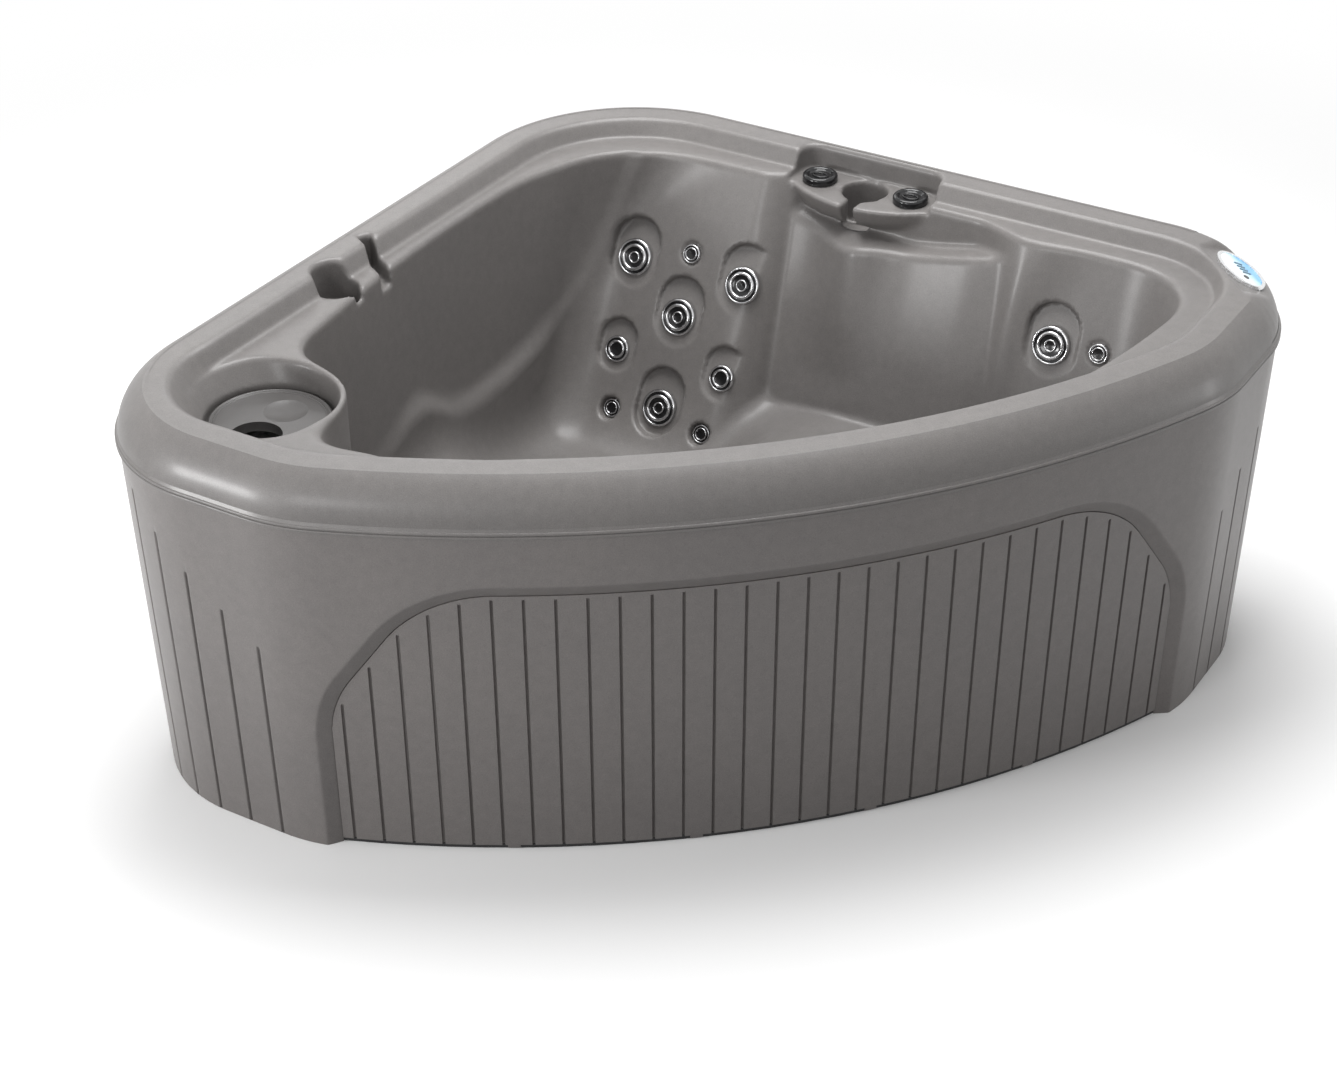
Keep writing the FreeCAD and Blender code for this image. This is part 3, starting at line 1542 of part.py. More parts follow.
def topside_keys():
    """Four slanted keys in a row along the control."""
    keys = []
    for index in range(KEY_COUNT):
        key = stadium(mm("key_length"), mm("key_width"), mm("key_height"))
        place = vec(
            (index - KEY_COUNT / 2) * mm("key_pitch"), mm("key_shift"), TOPSIDE_FACE - mm("key_height") / 2)
        key.Placement = FreeCAD.Placement(place, FreeCAD.Rotation(UP, 90 - mm("key_slant")))
        keys.append(key)
    return keys


KEY_COUNT = 4
TOPSIDE_FACE = GAP + mm("topside_bezel_height") - mm("topside_face_sink")
band = 2 * mm("topside_bezel_band")
bezel = oval(mm("topside_length"), mm("topside_width"), mm("topside_bezel_height"), GAP)
face_room = oval(
    mm("topside_length") - band, mm("topside_width") - band, mm("topside_bezel_height"),
    GAP + mm("topside_floor"))
bezel = bezel.cut(face_room)
face = oval(
    mm("topside_length") - band - 2 * GAP, mm("topside_width") - band - 2 * GAP,
    TOPSIDE_FACE - 2 * GAP - mm("topside_floor"), 2 * GAP + mm("topside_floor"))
wells = []
for key in topside_keys():
    well = stadium(
        mm("key_length") + 2 * GAP, mm("key_width") + 2 * GAP, mm("key_height") + mm("key_room"))
    well.Placement = key.Placement
    well.translate(vec(0, 0, -mm("key_room")))
    wells.append(well)
window_place = vec(mm("window_reach"), -mm("window_shift"), TOPSIDE_FACE - mm("window_sink"))
window_well = oval(
    mm("window_length") + GAP, mm("window_width") + GAP, mm("window_height")).translated(window_place)
feature("topside_bezel", on_topside(bezel))
feature("topside_face", on_topside(face.cut(wells + [window_well])))
feature("topside_window", on_topside(
    oval(mm("window_length"), mm("window_width"), mm("window_height")).translated(
        window_place + vec(0, 0, mm("window_seat")))))
for index, key in enumerate(topside_keys(), start=1):
    feature(f"topside_key_{index}", on_topside(key))


# Pump, heater and pipes behind the access panel


def tube(points, radius, wall, bend):
    """A round pipe along straight runs joined by tangent arcs."""
    edges = []
    last = points[0]
    for index in range(1, len(points) - 1):
        corner = points[index]
        before = (points[index - 1] - corner).normalize()
        after = (points[index + 1] - corner).normalize()
        half = before.getAngle(after) / 2
        run = bend / math.tan(half)
        first = corner + before * run
        final = corner + after * run
        middle = bisector(before, after)
        crown = corner + middle * (bend / math.sin(half) - bend)
        edges.append(Part.makeLine(last, first))
        edges.append(Part.Arc(first, crown, final).toShape())
        last = final
    edges.append(Part.makeLine(last, points[-1]))
    path = Part.Wire(edges)
    start = (points[1] - points[0]).normalize()
    outer = Part.Wire(Part.makeCircle(radius, points[0], start))
    inner = Part.Wire(Part.makeCircle(radius - wall, points[0], start))
    return path.makePipeShell([outer], True, False).cut(path.makePipeShell([inner], True, False))


PIPE = mm("pipe_radius")
PIPE_WALL = mm("pipe_wall")
BEND = 2 * PIPE
PUMP_AXIS = vec(1, 0, 0)
MOTOR_END = mm("pump_x") + mm("pump_length") / 2
WET_END = MOTOR_END + mm("wet_end_length")
DISCHARGE_X = MOTOR_END + mm("wet_end_length") / 2
DISCHARGE_TOP = mm("pump_level") + mm("wet_end_radius") + mm("inlet_stub") / 2
HEATER_START = DISCHARGE_X - 2 * BEND - mm("heater_length")


def pump_point(x, z):
    return vec(x, mm("pump_y"), z)


motor = turned("pump_motor", [
    ("0", "0"),
    ("pump_radius * 0.8", "0"),
    ("pump_radius * 0.9", "18"),
    ("pump_radius * 0.9", "pump_length * 0.3"),
    ("pump_radius", "pump_length * 0.3"),
    ("pump_radius", "pump_length * 0.85"),
    ("pump_radius * 0.92", "pump_length * 0.85"),
    ("pump_radius * 0.92", "pump_length - seat_gap"),
    ("0", "pump_length - seat_gap"),
])
motor.Placement = facing(pump_point(MOTOR_END - mm("pump_length"), mm("pump_level")), PUMP_AXIS)


def pump_wet_end():
    """Volute with its suction mouth on the axis and its discharge upward."""
    radius = mm("wet_end_radius")
    length = mm("wet_end_length")
    level = mm("pump_level")
    volute = cylinder(radius, length * 0.6, pump_point(MOTOR_END, level), PUMP_AXIS)
    cover = Part.makeCone(
        radius * 0.9, PIPE * 1.6, length * 0.4, pump_point(MOTOR_END + length * 0.6, level), PUMP_AXIS)
    mouth = cylinder(PIPE * 1.25, mm("inlet_stub"), pump_point(WET_END, level), PUMP_AXIS)
    rise = cylinder(PIPE * 1.25, DISCHARGE_TOP - level, pump_point(DISCHARGE_X, level))
    body = joined([volute, cover, mouth, rise])
    bore = PIPE - PIPE_WALL
    back = pump_point(MOTOR_END + mm("volute_back"), level)
    return body.cut([
        cylinder(bore, length + mm("inlet_stub"), back, PUMP_AXIS),
        cylinder(bore, DISCHARGE_TOP, pump_point(DISCHARGE_X, level))])


feature("pump_wet_end", pump_wet_end())

saddle = doc.addObject("Part::Box", "pump_foot")
saddle.Label = "pump_foot"
saddle.setExpression("Length", "Sizes.pump_foot_length")
saddle.setExpression("Width", "Sizes.pump_foot_width")
saddle.setExpression("Height", "Sizes.pump_level - Sizes.pump_radius - Sizes.base_height - Sizes.seat_gap")
saddle.Placement = FreeCAD.Placement(
    vec(mm("pump_x") - mm("pump_foot_length") / 2, mm("pump_y") - mm("pump_foot_width") / 2,
        mm("base_height")),
    FreeCAD.Rotation())
pieces.append(saddle)

box = doc.addObject("Part::Box", "control_box")
box.Label = "control_box"
box.setExpression("Length", "Sizes.box_length")
box.setExpression("Width", "Sizes.box_depth")
box.setExpression("Height", "Sizes.box_height")
box.Placement = FreeCAD.Placement(
    vec(mm("box_x") - mm("box_length") / 2, mm("box_y") - mm("box_depth") / 2, mm("base_height")),
    FreeCAD.Rotation())
pieces.append(box)

heater = turned("heater_tube", [
    ("heater_radius - pipe_wall", "0"),
    ("heater_radius", "0"),
    ("heater_radius", "heater_length"),
    ("heater_radius - pipe_wall", "heater_length"),
])
heater.Placement = facing(pump_point(HEATER_START, mm("heater_level")), PUMP_AXIS)

union = turned("heater_union_master", [
    ("pipe_radius - pipe_wall", "0"),
    ("union_radius", "0"),
    ("union_radius", "union_length"),
    ("pipe_radius - pipe_wall", "union_length"),
], keep=False)
group("heater_unions", union, [
    facing(pump_point(HEATER_START - mm("union_length"), mm("heater_level")), PUMP_AXIS),
    facing(pump_point(HEATER_START + mm("heater_length"), mm("heater_level")), PUMP_AXIS)])

feature("pressure_pipe", tube([
    pump_point(DISCHARGE_X, DISCHARGE_TOP),
    pump_point(DISCHARGE_X, mm("heater_level")),
    pump_point(HEATER_START + mm("heater_length") + mm("union_length"), mm("heater_level")),
], PIPE, PIPE_WALL, BEND))

manifold_foot = at(mm("lounge_middle"), mm("manifold_inset"), mm("return_drop"))
return_x = HEATER_START - mm("union_length") - BEND - mm("return_run")
feature("return_pipe", tube([
    pump_point(HEATER_START - mm("union_length"), mm("heater_level")),
    pump_point(return_x, mm("heater_level")),
    pump_point(return_x, mm("return_drop")),
    manifold_foot,
    manifold_foot + UP * mm("manifold_stub"),
], PIPE, PIPE_WALL, BEND))


def capped_pipe(start, axis, length, radius, wall):
    return cylinder(radius, length, start, axis).cut(cylinder(radius - wall, length - wall, start, axis))


manifold_start = manifold_foot + UP * mm("manifold_stub")
feature("water_manifold", capped_pipe(
    manifold_start, UP, mm("manifold_top") - manifold_start.z, PIPE, PIPE_WALL))


def suction_pipe():
    """Collector behind the footwell with two branches, led round to the pump's mouth."""
    level = mm("suction_level")
    inset = mm("footwell_back") - mm("suction_tail") - mm("collector_stub") - PIPE
    run = tube([
        at(mm("suction_u") - mm("collector_start"), inset, level),
        at(mm("collector_end"), inset, level),
        pump_point(WET_END + mm("inlet_stub") + mm("suction_lead"), mm("pump_level")),
        pump_point(WET_END + mm("inlet_stub"), mm("pump_level")),
    ], PIPE, PIPE_WALL, BEND)
    branch = PIPE - mm("suction_branch_step")
    stubs = []
    bores = []
    for place in SUCTION_SPOTS:
        end = mm("footwell_back") - mm("suction_tail")
        start = place.Base - ALONG_V * (mm("footwell_back") - inset)
        stubs.append(cylinder(branch, end - inset, start, ALONG_V))
        bores.append(cylinder(branch - PIPE_WALL, end - inset, start, ALONG_V))
    return joined([run] + stubs).cut(bores)


feature("suction_pipe", suction_pipe())

cover = turned("suction_cover_master", [
    ("suction_tail_radius - pipe_wall", "0 - suction_tail"),
    ("suction_tail_radius", "0 - suction_tail"),
    ("suction_tail_radius", "seat_gap"),
    ("suction_radius", "seat_gap"),
    ("suction_radius", "suction_height * 0.5"),
    ("suction_radius * 0.75", "suction_height"),
    ("suction_tail_radius - pipe_wall", "suction_height"),
], keep=False)
group("suction_covers", cover, SUCTION_SPOTS)

drain = turned("drain_fitting", [
    ("drain_bore - pipe_wall", "0 - drain_tail"),
    ("drain_bore", "0 - drain_tail"),
    ("drain_bore", "seat_gap"),
    ("drain_radius", "seat_gap"),
    ("drain_radius", "drain_height * 0.6"),
    ("drain_radius * 0.8", "drain_height"),
    ("drain_bore - pipe_wall", "drain_height"),
])
drain.Placement = facing(DRAIN_SPOT, UP)


def air_manifold():
    """Air pipe under the island with a riser to each valve."""
    radius = mm("air_pipe_radius")
    top = ISLAND - mm("air_valve_depth")
    level = top - mm("air_pipe_drop")
    reach = mm("knob_spread") + mm("air_pipe_end")
    start = at(mm("island_middle") - reach, mm("knob_inset"), level)
    shapes = [cylinder(radius, 2 * reach, start, ALONG_U)]
    for spot in KNOB_SPOTS.values():
        shapes.append(cylinder(mm("air_riser_radius"), top - level, vec(spot.x, spot.y, level)))
    return joined(shapes)


feature("air_manifold", air_manifold())

gland = turned("cord_gland", [
    ("gland_radius * 0.35", "0 - skirt_wall - gland_thread"),
    ("gland_radius", "0 - skirt_wall - gland_thread"),
    ("gland_radius", "seat_gap"),
    ("gland_radius * 1.5", "seat_gap"),
    ("gland_radius * 1.5", "gland_flange"),
    ("gland_radius", "gland_length"),
    ("gland_radius * 0.35", "gland_length"),
])
gland.Placement = GLAND


# Check every object before anything is written

doc.recompute()
for thing in doc.Objects:
    if "Invalid" in thing.State or "Error" in thing.State:
        raise RuntimeError(f"{thing.Label} did not compute: {thing.State}")
for piece in pieces:
    if piece.Shape.isNull() or not piece.Shape.isValid():
        raise RuntimeError(f"{piece.Label} has no valid solid")
    print(piece.Label, len(piece.Shape.Solids), round(piece.Shape.Volume / 1000), "cm3")

os.makedirs("parts", exist_ok=True)
for piece in pieces:
    piece.Shape.exportStep(f"parts/{piece.Label}.step")
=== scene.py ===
import bmesh
import bpy
import math
import numpy as np
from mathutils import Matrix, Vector


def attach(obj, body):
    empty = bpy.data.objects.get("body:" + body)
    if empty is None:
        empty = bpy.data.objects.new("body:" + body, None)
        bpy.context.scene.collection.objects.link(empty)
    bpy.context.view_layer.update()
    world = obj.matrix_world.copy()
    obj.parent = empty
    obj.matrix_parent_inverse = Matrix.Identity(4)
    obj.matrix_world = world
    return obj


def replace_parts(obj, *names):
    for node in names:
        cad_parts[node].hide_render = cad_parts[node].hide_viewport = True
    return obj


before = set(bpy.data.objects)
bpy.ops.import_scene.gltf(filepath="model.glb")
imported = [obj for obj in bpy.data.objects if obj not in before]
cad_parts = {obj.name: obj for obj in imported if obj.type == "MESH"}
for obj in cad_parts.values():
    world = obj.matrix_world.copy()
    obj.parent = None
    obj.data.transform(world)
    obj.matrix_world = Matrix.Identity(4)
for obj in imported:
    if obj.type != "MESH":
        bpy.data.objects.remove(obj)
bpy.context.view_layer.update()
scene = bpy.context.scene

# Sizes of the tub, in millimetres, the same as in the part's source.
# u is the distance in from the left wall, v the distance in from the right wall.
DIAGONAL = math.sqrt(0.5)
WALL_SIDE = 1630.0
RETURN_SIDE = 475.0
BOW = 1950.0
BACK_ROUND = 370.0
SIDE_ROUND = 290.0
FRONT_ROUND = 320.0
HEIGHT = 740.0
LEDGE = 705.0
BEAD_FOOT = 650.0
BENCH = 300.0

CORNER = np.array([(WALL_SIDE - RETURN_SIDE) * DIAGONAL, -(WALL_SIDE + RETURN_SIDE) * DIAGONAL])
BOW_DROP = CORNER[1] + math.sqrt(BOW ** 2 - CORNER[0] ** 2)
APEX = (BACK_ROUND * (math.sqrt(2) - 1) + BOW - BOW_DROP) / 2
BOW_Y = APEX + BOW_DROP
WALL_REACH = APEX * DIAGONAL
RETURN_REACH = WALL_SIDE - WALL_REACH
SIDE_CENTRE = np.array([WALL_REACH - SIDE_ROUND + RETURN_REACH - SIDE_ROUND,
                        WALL_REACH - SIDE_ROUND - RETURN_REACH + SIDE_ROUND]) * DIAGONAL


def at(u, v, z):
    """World point, in millimetres, from the distances in from the two walls."""
    return np.array([(u - v) * DIAGONAL, APEX - (u + v) * DIAGONAL, z])


# Outline of the rim's widest line


def outline_arcs():
    """Arcs of the outline's right half, from the front centre to the back corner: centre, radius, angles."""
    reach = RETURN_REACH - FRONT_ROUND
    foot = np.array([DIAGONAL, -DIAGONAL]) * reach
    run = np.array([-DIAGONAL, -DIAGONAL])
    start = foot - np.array([0, BOW_Y])
    half = start @ run
    rest = start @ start - (BOW - FRONT_ROUND) ** 2
    front = foot + run * (-half + math.sqrt(half * half - rest))
    angle = math.atan2(front[1] - BOW_Y, front[0])
    back = np.array([0.0, APEX - BACK_ROUND * math.sqrt(2)])
    quarter = math.pi / 4
    return [
        (np.array([0.0, BOW_Y]), BOW, -math.pi / 2, angle),
        (front, FRONT_ROUND, angle, -quarter),
        (SIDE_CENTRE, SIDE_ROUND, -quarter, quarter),
        (back, BACK_ROUND, quarter, math.pi / 2),
    ]


def ray(angle):
    return np.array([math.cos(angle), math.sin(angle)])


def outline_points(step):
    """Points and outward directions along the right half of the outline, then along the left half."""
    places = []
    normals = []
    last = None
    for centre, radius, first, final in outline_arcs():
        begin = centre + radius * ray(first)
        if last is not None:
            count = int(np.linalg.norm(begin - last) // step)
            for index in range(1, count):
                places.append(last + (begin - last) * index / count)
                normals.append(ray(first))
        count = max(3, int(abs(final - first) * radius / step))
        for angle in np.linspace(first, final, count):
            places.append(centre + radius * ray(angle))
            normals.append(ray(angle))
        last = places[-1]
    places = np.array(places)
    normals = np.array(normals)
    mirrored = places[-2:0:-1] * np.array([-1, 1])
    turned = normals[-2:0:-1] * np.array([-1, 1])
    return np.vstack([places, mirrored]), np.vstack([normals, turned])


def lengths_along(path):
    return np.concatenate([[0], np.cumsum(np.linalg.norm(np.diff(path, axis=0), axis=1))])


def between(length, knots, values):
    """Plan values at some lengths, from those at the knots."""
    return np.stack([np.interp(length, knots, values[:, axis]) for axis in (0, 1)], axis=-1)


FINE_POINTS, FINE_NORMALS = outline_points(4.0)
FINE_LENGTH = lengths_along(FINE_POINTS)
PERIMETER = FINE_LENGTH[-1] + np.linalg.norm(FINE_POINTS[-1] - FINE_POINTS[0])


def on_outline(length):
    """Point and outward direction at a length along the outline, from the front centre."""
    length = np.asarray(length) % PERIMETER
    knots = np.append(FINE_LENGTH, PERIMETER)
    place = between(length, knots, np.vstack([FINE_POINTS, FINE_POINTS[:1]]))
    normal = between(length, knots, np.vstack([FINE_NORMALS, FINE_NORMALS[:1]]))
    return place, normal / np.linalg.norm(normal, axis=-1, keepdims=True)


def length_at(point):
    """Length along the outline nearest to a plan point."""
    return FINE_LENGTH[np.argmin(np.linalg.norm(FINE_POINTS - np.asarray(point), axis=1))]


# Meshes


def mesh_object(name, points, faces, material, body, slot, sharp=None):
    """A new piece from points in millimetres and equal-sided faces, with creases past an angle in degrees."""
    points = np.asarray(points, dtype=np.float32)
    faces = np.asarray(faces, dtype=np.int32)
    mesh = bpy.data.meshes.new(name)
    mesh.vertices.add(len(points))
    mesh.vertices.foreach_set("co", (points / 1000).ravel())
    mesh.loops.add(faces.size)
    mesh.loops.foreach_set("vertex_index", faces.ravel())
    mesh.polygons.add(len(faces))
    mesh.polygons.foreach_set("loop_start", np.arange(0, faces.size, faces.shape[1], dtype=np.int32))
    mesh.polygons.foreach_set("use_smooth", np.full(len(faces), True))
    mesh.update(calc_edges=True)
    mesh.validate()
    if sharp:
        mesh.set_sharp_from_angle(angle=math.radians(sharp))
    piece = bpy.data.objects.new(name, mesh)
    scene.collection.objects.link(piece)
    piece.data.materials.append(material)
    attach(piece, body)
    return piece


def lattice(rows, columns, close_columns=False, flip=False):
    """Faces of a grid of points stored row by row."""
    index = np.arange(rows * columns).reshape(rows, columns)
    if close_columns:
        index = np.hstack([index, index[:, :1]])
    quads = np.stack([index[:-1, :-1], index[:-1, 1:], index[1:, 1:], index[1:, :-1]], axis=-1)
    quads = quads.reshape(-1, 4)
    return quads[:, ::-1] if flip else quads


def unit(vector):
    return vector / np.linalg.norm(vector)


def basis(axis):
    """Matrix whose columns are two directions across an axis, and the axis."""
    axis = unit(np.asarray(axis, dtype=float))
    side = np.cross(axis, [0, 0, 1.0])
    side = np.array([1.0, 0, 0]) if np.linalg.norm(side) < 1e-6 else unit(side)
    return np.stack([side, np.cross(axis, side), axis], axis=1)


def turned(name, sets, material, body, slot, segments=72):
    """Turned profiles, each with its place and axis, as one piece; a profile runs inward and upward."""
    turn = np.linspace(0, 2 * math.pi, segments, endpoint=False)
    points = []
    faces = []
    total = 0
    for profile, place, axis in sets:
        profile = np.asarray(profile, dtype=float)
        local = np.stack([
            profile[:, :1] * np.cos(turn), profile[:, :1] * np.sin(turn),
            np.repeat(profile[:, 1:], segments, axis=1)], axis=-1).reshape(-1, 3)
        points.append(local @ basis(axis).T + np.asarray(place))
        faces.append(lattice(len(profile), segments, close_columns=True) + total)
        total += len(local)
    return mesh_object(name, np.vstack(points), np.vstack(faces), material, body, slot)


# Distance fields for the moulded shapes


def smooth_min(a, b, blend):
    """Lesser of two fields, with the crease between them rounded over the width of a blend."""
    share = np.clip(0.5 + 0.5 * (b - a) / blend, 0, 1)
    return b + (a - b) * share - blend * share * (1 - share)


def smooth_max(a, b, blend):
    return -smooth_min(-a, -b, blend)


def surface(field, low, step):
    """Points and quads of the zero surface of a sampled field, one point to each crossed cell."""
    inside = field < 0
    cells = np.array(field.shape) - 1
    places = []
    rings = []
    for axis in range(3):
        a = [slice(1, -1)] * 3
        b = [slice(1, -1)] * 3
        a[axis] = slice(None, -1)
        b[axis] = slice(1, None)
        hit = np.argwhere(inside[tuple(a)] != inside[tuple(b)]) + 1
        hit[:, axis] -= 1
        ahead = hit.copy()
        ahead[:, axis] += 1
        f0 = field[tuple(hit.T)]
        f1 = field[tuple(ahead.T)]
        place = hit.astype(np.float32)
        place[:, axis] += f0 / (f0 - f1)
        places.append(place)
        ring = []
        for first, second in ((-1, -1), (0, -1), (0, 0), (-1, 0)):
            cell = hit.copy()
            cell[:, (axis + 1) % 3] += first
            cell[:, (axis + 2) % 3] += second
            ring.append(np.ravel_multi_index(cell.T, cells))
        ring = np.stack(ring, axis=1)
        rings.append(np.where((f0 < 0)[:, None], ring, ring[:, ::-1]))
    _, corner = np.unique(np.vstack(rings), return_inverse=True)
    corner = corner.ravel()
    crossing = np.repeat(np.vstack(places), 4, axis=0)
    total = np.stack([np.bincount(corner, crossing[:, axis]) for axis in range(3)], axis=1)
    points = np.asarray(low) + total / np.bincount(corner)[:, None] * step
    return points, corner.reshape(-1, 4)


# Materials


def node_material(name, base, rough, metallic=0.0, specular=0.5, coat=0.0):
    material = bpy.data.materials.new(name)
    material.use_nodes = True
    shader = material.node_tree.nodes["Principled BSDF"]
    shader.inputs["Base Color"].default_value = (*base, 1)
    shader.inputs["Roughness"].default_value = rough
    shader.inputs["Metallic"].default_value = metallic
    shader.inputs["Specular IOR Level"].default_value = specular
    shader.inputs["Coat Weight"].default_value = coat
    return material, material.node_tree, shader


def coordinates(tree):
    return tree.nodes.new("ShaderNodeTexCoord").outputs["Object"]


def noise(tree, vector, scale, detail=3.0, roughness=0.55):
    node = tree.nodes.new("ShaderNodeTexNoise")
    node.inputs["Scale"].default_value = scale
    node.inputs["Detail"].default_value = detail
    node.inputs["Roughness"].default_value = roughness
    tree.links.new(vector, node.inputs["Vector"])
    return node.outputs["Fac"]


def ramp(tree, value, stops):
    node = tree.nodes.new("ShaderNodeValToRGB")
    while len(node.color_ramp.elements) < len(stops):
        node.color_ramp.elements.new(0.5)
    for element, (position, colour) in zip(node.color_ramp.elements, stops):
        element.position = position
        element.color = (*colour, 1)
    tree.links.new(value, node.inputs["Fac"])
    return node.outputs["Color"]


def multiplied(tree, a, b):
    node = tree.nodes.new("ShaderNodeMix")
    node.data_type = "RGBA"
    node.blend_type = "MULTIPLY"
    node.inputs[0].default_value = 1.0
    tree.links.new(a, node.inputs[6])
    tree.links.new(b, node.inputs[7])
    return node.outputs[2]


def remap(tree, value, low, high):
    node = tree.nodes.new("ShaderNodeMapRange")
    node.inputs["To Min"].default_value = low
    node.inputs["To Max"].default_value = high
    tree.links.new(value, node.inputs["Value"])
    return node.outputs["Result"]


def worked_out(tree, operation, a, b):
    node = tree.nodes.new("ShaderNodeMath")
    node.operation = operation
    tree.links.new(a, node.inputs[0])
    tree.links.new(b, node.inputs[1])
    return node.outputs[0]


def bumped(tree, shader, height, strength, distance):
    node = tree.nodes.new("ShaderNodeBump")
    node.inputs["Strength"].default_value = strength
    node.inputs["Distance"].default_value = distance
    tree.links.new(height, node.inputs["Height"])
    tree.links.new(node.outputs["Normal"], shader.inputs["Normal"])


def moulded(name, base):
    """Speckled, fine-grained polyethylene with a satin sheen."""
    material, tree, shader = node_material(name, base, 0.42, specular=0.42, coat=0.25)
    shader.inputs["Coat Roughness"].default_value = 0.24
    vector = coordinates(tree)
    speck = noise(tree, vector, 620.0, 2.0, 0.6)
    mottle = noise(tree, vector, 55.0, 3.0)
    broad = noise(tree, vector, 3.5, 2.0)
    dark = tuple(c * 0.80 for c in base)
    light = tuple(min(1, c * 1.22) for c in base)
    specks = ramp(tree, speck, [(0.30, dark), (0.48, base), (0.56, base), (0.74, light)])
    tone = ramp(tree, mottle, [(0.30, (0.94, 0.94, 0.94)), (0.72, (1.05, 1.05, 1.05))])
    shade = ramp(tree, broad, [(0.30, (0.96, 0.96, 0.965)), (0.70, (1.03, 1.025, 1.02))])
    colour = multiplied(tree, multiplied(tree, specks, tone), shade)
    tree.links.new(colour, shader.inputs["Base Color"])
    tree.links.new(remap(tree, speck, 0.36, 0.52), shader.inputs["Roughness"])
    bumped(tree, shader, speck, 0.32, 0.0009)
    return material


def bright(name, base, rough, scale):
    """Polished metal plating with faint rubbing marks."""
    material, tree, shader = node_material(name, base, rough, metallic=1.0)
    vector = coordinates(tree)
    rub = noise(tree, vector, scale, 4.0)
    tree.links.new(remap(tree, rub, rough * 0.6, rough * 1.7), shader.inputs["Roughness"])
    dark = tuple(c * 0.9 for c in base)
    tree.links.new(ramp(tree, rub, [(0.35, dark), (0.65, base)]), shader.inputs["Base Color"])
    bumped(tree, shader, rub, 0.05, 0.0003)
    return material


def plastic(name, base, rough, scale, strength, spread=0.18):
    """Smooth or lightly grained plastic with small changes of tone."""
    material, tree, shader = node_material(name, base, rough)
    vector = coordinates(tree)
    grain = noise(tree, vector, scale, 3.0)
    cloud = noise(tree, vector, scale * 0.06, 2.0)
    dark = tuple(c * (1 - spread) for c in base)
    light = tuple(min(1, c * (1 + spread)) for c in base)
    tree.links.new(ramp(tree, cloud, [(0.3, dark), (0.7, light)]), shader.inputs["Base Color"])
    tree.links.new(remap(tree, grain, rough * 0.8, rough * 1.25), shader.inputs["Roughness"])
    bumped(tree, shader, grain, strength, 0.0006)
    return material


def overlay(name):
    """Printed control face: white along its inner side, light blue toward its outer side."""
    material, tree, shader = node_material(name, (0.8, 0.86, 0.9), 0.2, coat=0.3)
    place = tree.nodes.new("ShaderNodeSeparateXYZ")
    tree.links.new(tree.nodes.new("ShaderNodeTexCoord").outputs["Generated"], place.inputs[0])
    drift = tree.nodes.new("ShaderNodeMath")
    drift.operation = "MULTIPLY_ADD"
    drift.inputs[1].default_value = 0.25
    tree.links.new(noise(tree, coordinates(tree), 30.0, 2.0), drift.inputs[0])
    tree.links.new(place.outputs["X"], drift.inputs[2])
    stops = [(0.45, (0.86, 0.88, 0.88)), (0.68, (0.62, 0.80, 0.88)), (0.92, (0.17, 0.46, 0.78))]
    tree.links.new(ramp(tree, drift.outputs[0], stops), shader.inputs["Base Color"])
    return material


SHELL = moulded("moulded_shell", (0.166, 0.157, 0.152))
SKIRT = moulded("moulded_skirt", (0.162, 0.150, 0.145))
LID = moulded("moulded_lid", (0.070, 0.066, 0.064))
CHROME = bright("chrome_trim", (0.62, 0.62, 0.63), 0.13, 300.0)
CLEAR = bright("bezel_trim", (0.86, 0.87, 0.88), 0.22, 300.0)
STEEL = bright("brushed_steel", (0.60, 0.60, 0.60), 0.30, 500.0)
GLOSS_BLACK = plastic("gloss_black", (0.010, 0.010, 0.011), 0.16, 400.0, 0.04)
BLACK = plastic("black_plastic", (0.018, 0.018, 0.019), 0.42, 700.0, 0.25)
PIPE = plastic("pipe_plastic", (0.78, 0.78, 0.75), 0.32, 250.0, 0.06, 0.05)
GREY = plastic("grey_plastic", (0.10, 0.10, 0.105), 0.45, 600.0, 0.2)
FOAM = plastic("foam_block", (0.66, 0.62, 0.50), 0.85, 180.0, 0.7, 0.12)
PAPER = plastic("filter_paper", (0.70, 0.71, 0.70), 0.80, 420.0, 0.5, 0.06)
MOTOR = plastic("painted_motor", (0.022, 0.023, 0.026), 0.38, 350.0, 0.3)
KEY = plastic("key_rubber", (0.045, 0.13, 0.20), 0.35, 500.0, 0.1)
OVERLAY = overlay("control_overlay")


# Camera, from the photograph's own perspective: pixels, metres and radians

IMAGE_WIDTH = 1337.0
IMAGE_HEIGHT = 1080.0
PRINCIPAL_X = 703.5
PRINCIPAL_Y = 536.1
FOCAL = 2763.1
SENSOR = 36.0
EYE = (-1.0795, -4.3234, 2.9646)
YAW = 0.253
PITCH = 0.562
camera_data = bpy.data.cameras.new("camera")
camera_data.sensor_width = SENSOR
camera_data.lens = SENSOR * FOCAL / IMAGE_WIDTH
camera_data.shift_x = (IMAGE_WIDTH / 2 - PRINCIPAL_X) / IMAGE_WIDTH
camera_data.shift_y = (PRINCIPAL_Y - IMAGE_HEIGHT / 2) / IMAGE_WIDTH
camera_data.clip_end = 100
camera = bpy.data.objects.new("camera", camera_data)
scene.collection.objects.link(camera)
camera.location = EYE
look = Vector((math.sin(YAW) * math.cos(PITCH), math.cos(YAW) * math.cos(PITCH), -math.sin(PITCH)))
camera.rotation_euler = look.to_track_quat("-Z", "Y").to_euler()
scene.camera = camera


# Moulded tub shell, from distance fields that are negative in the hollows

STEP = 5.0
GRID_LOW = (-1062.0, -790.0, 84.0)
GRID_HIGH = (1062.0, 790.0, 768.0)

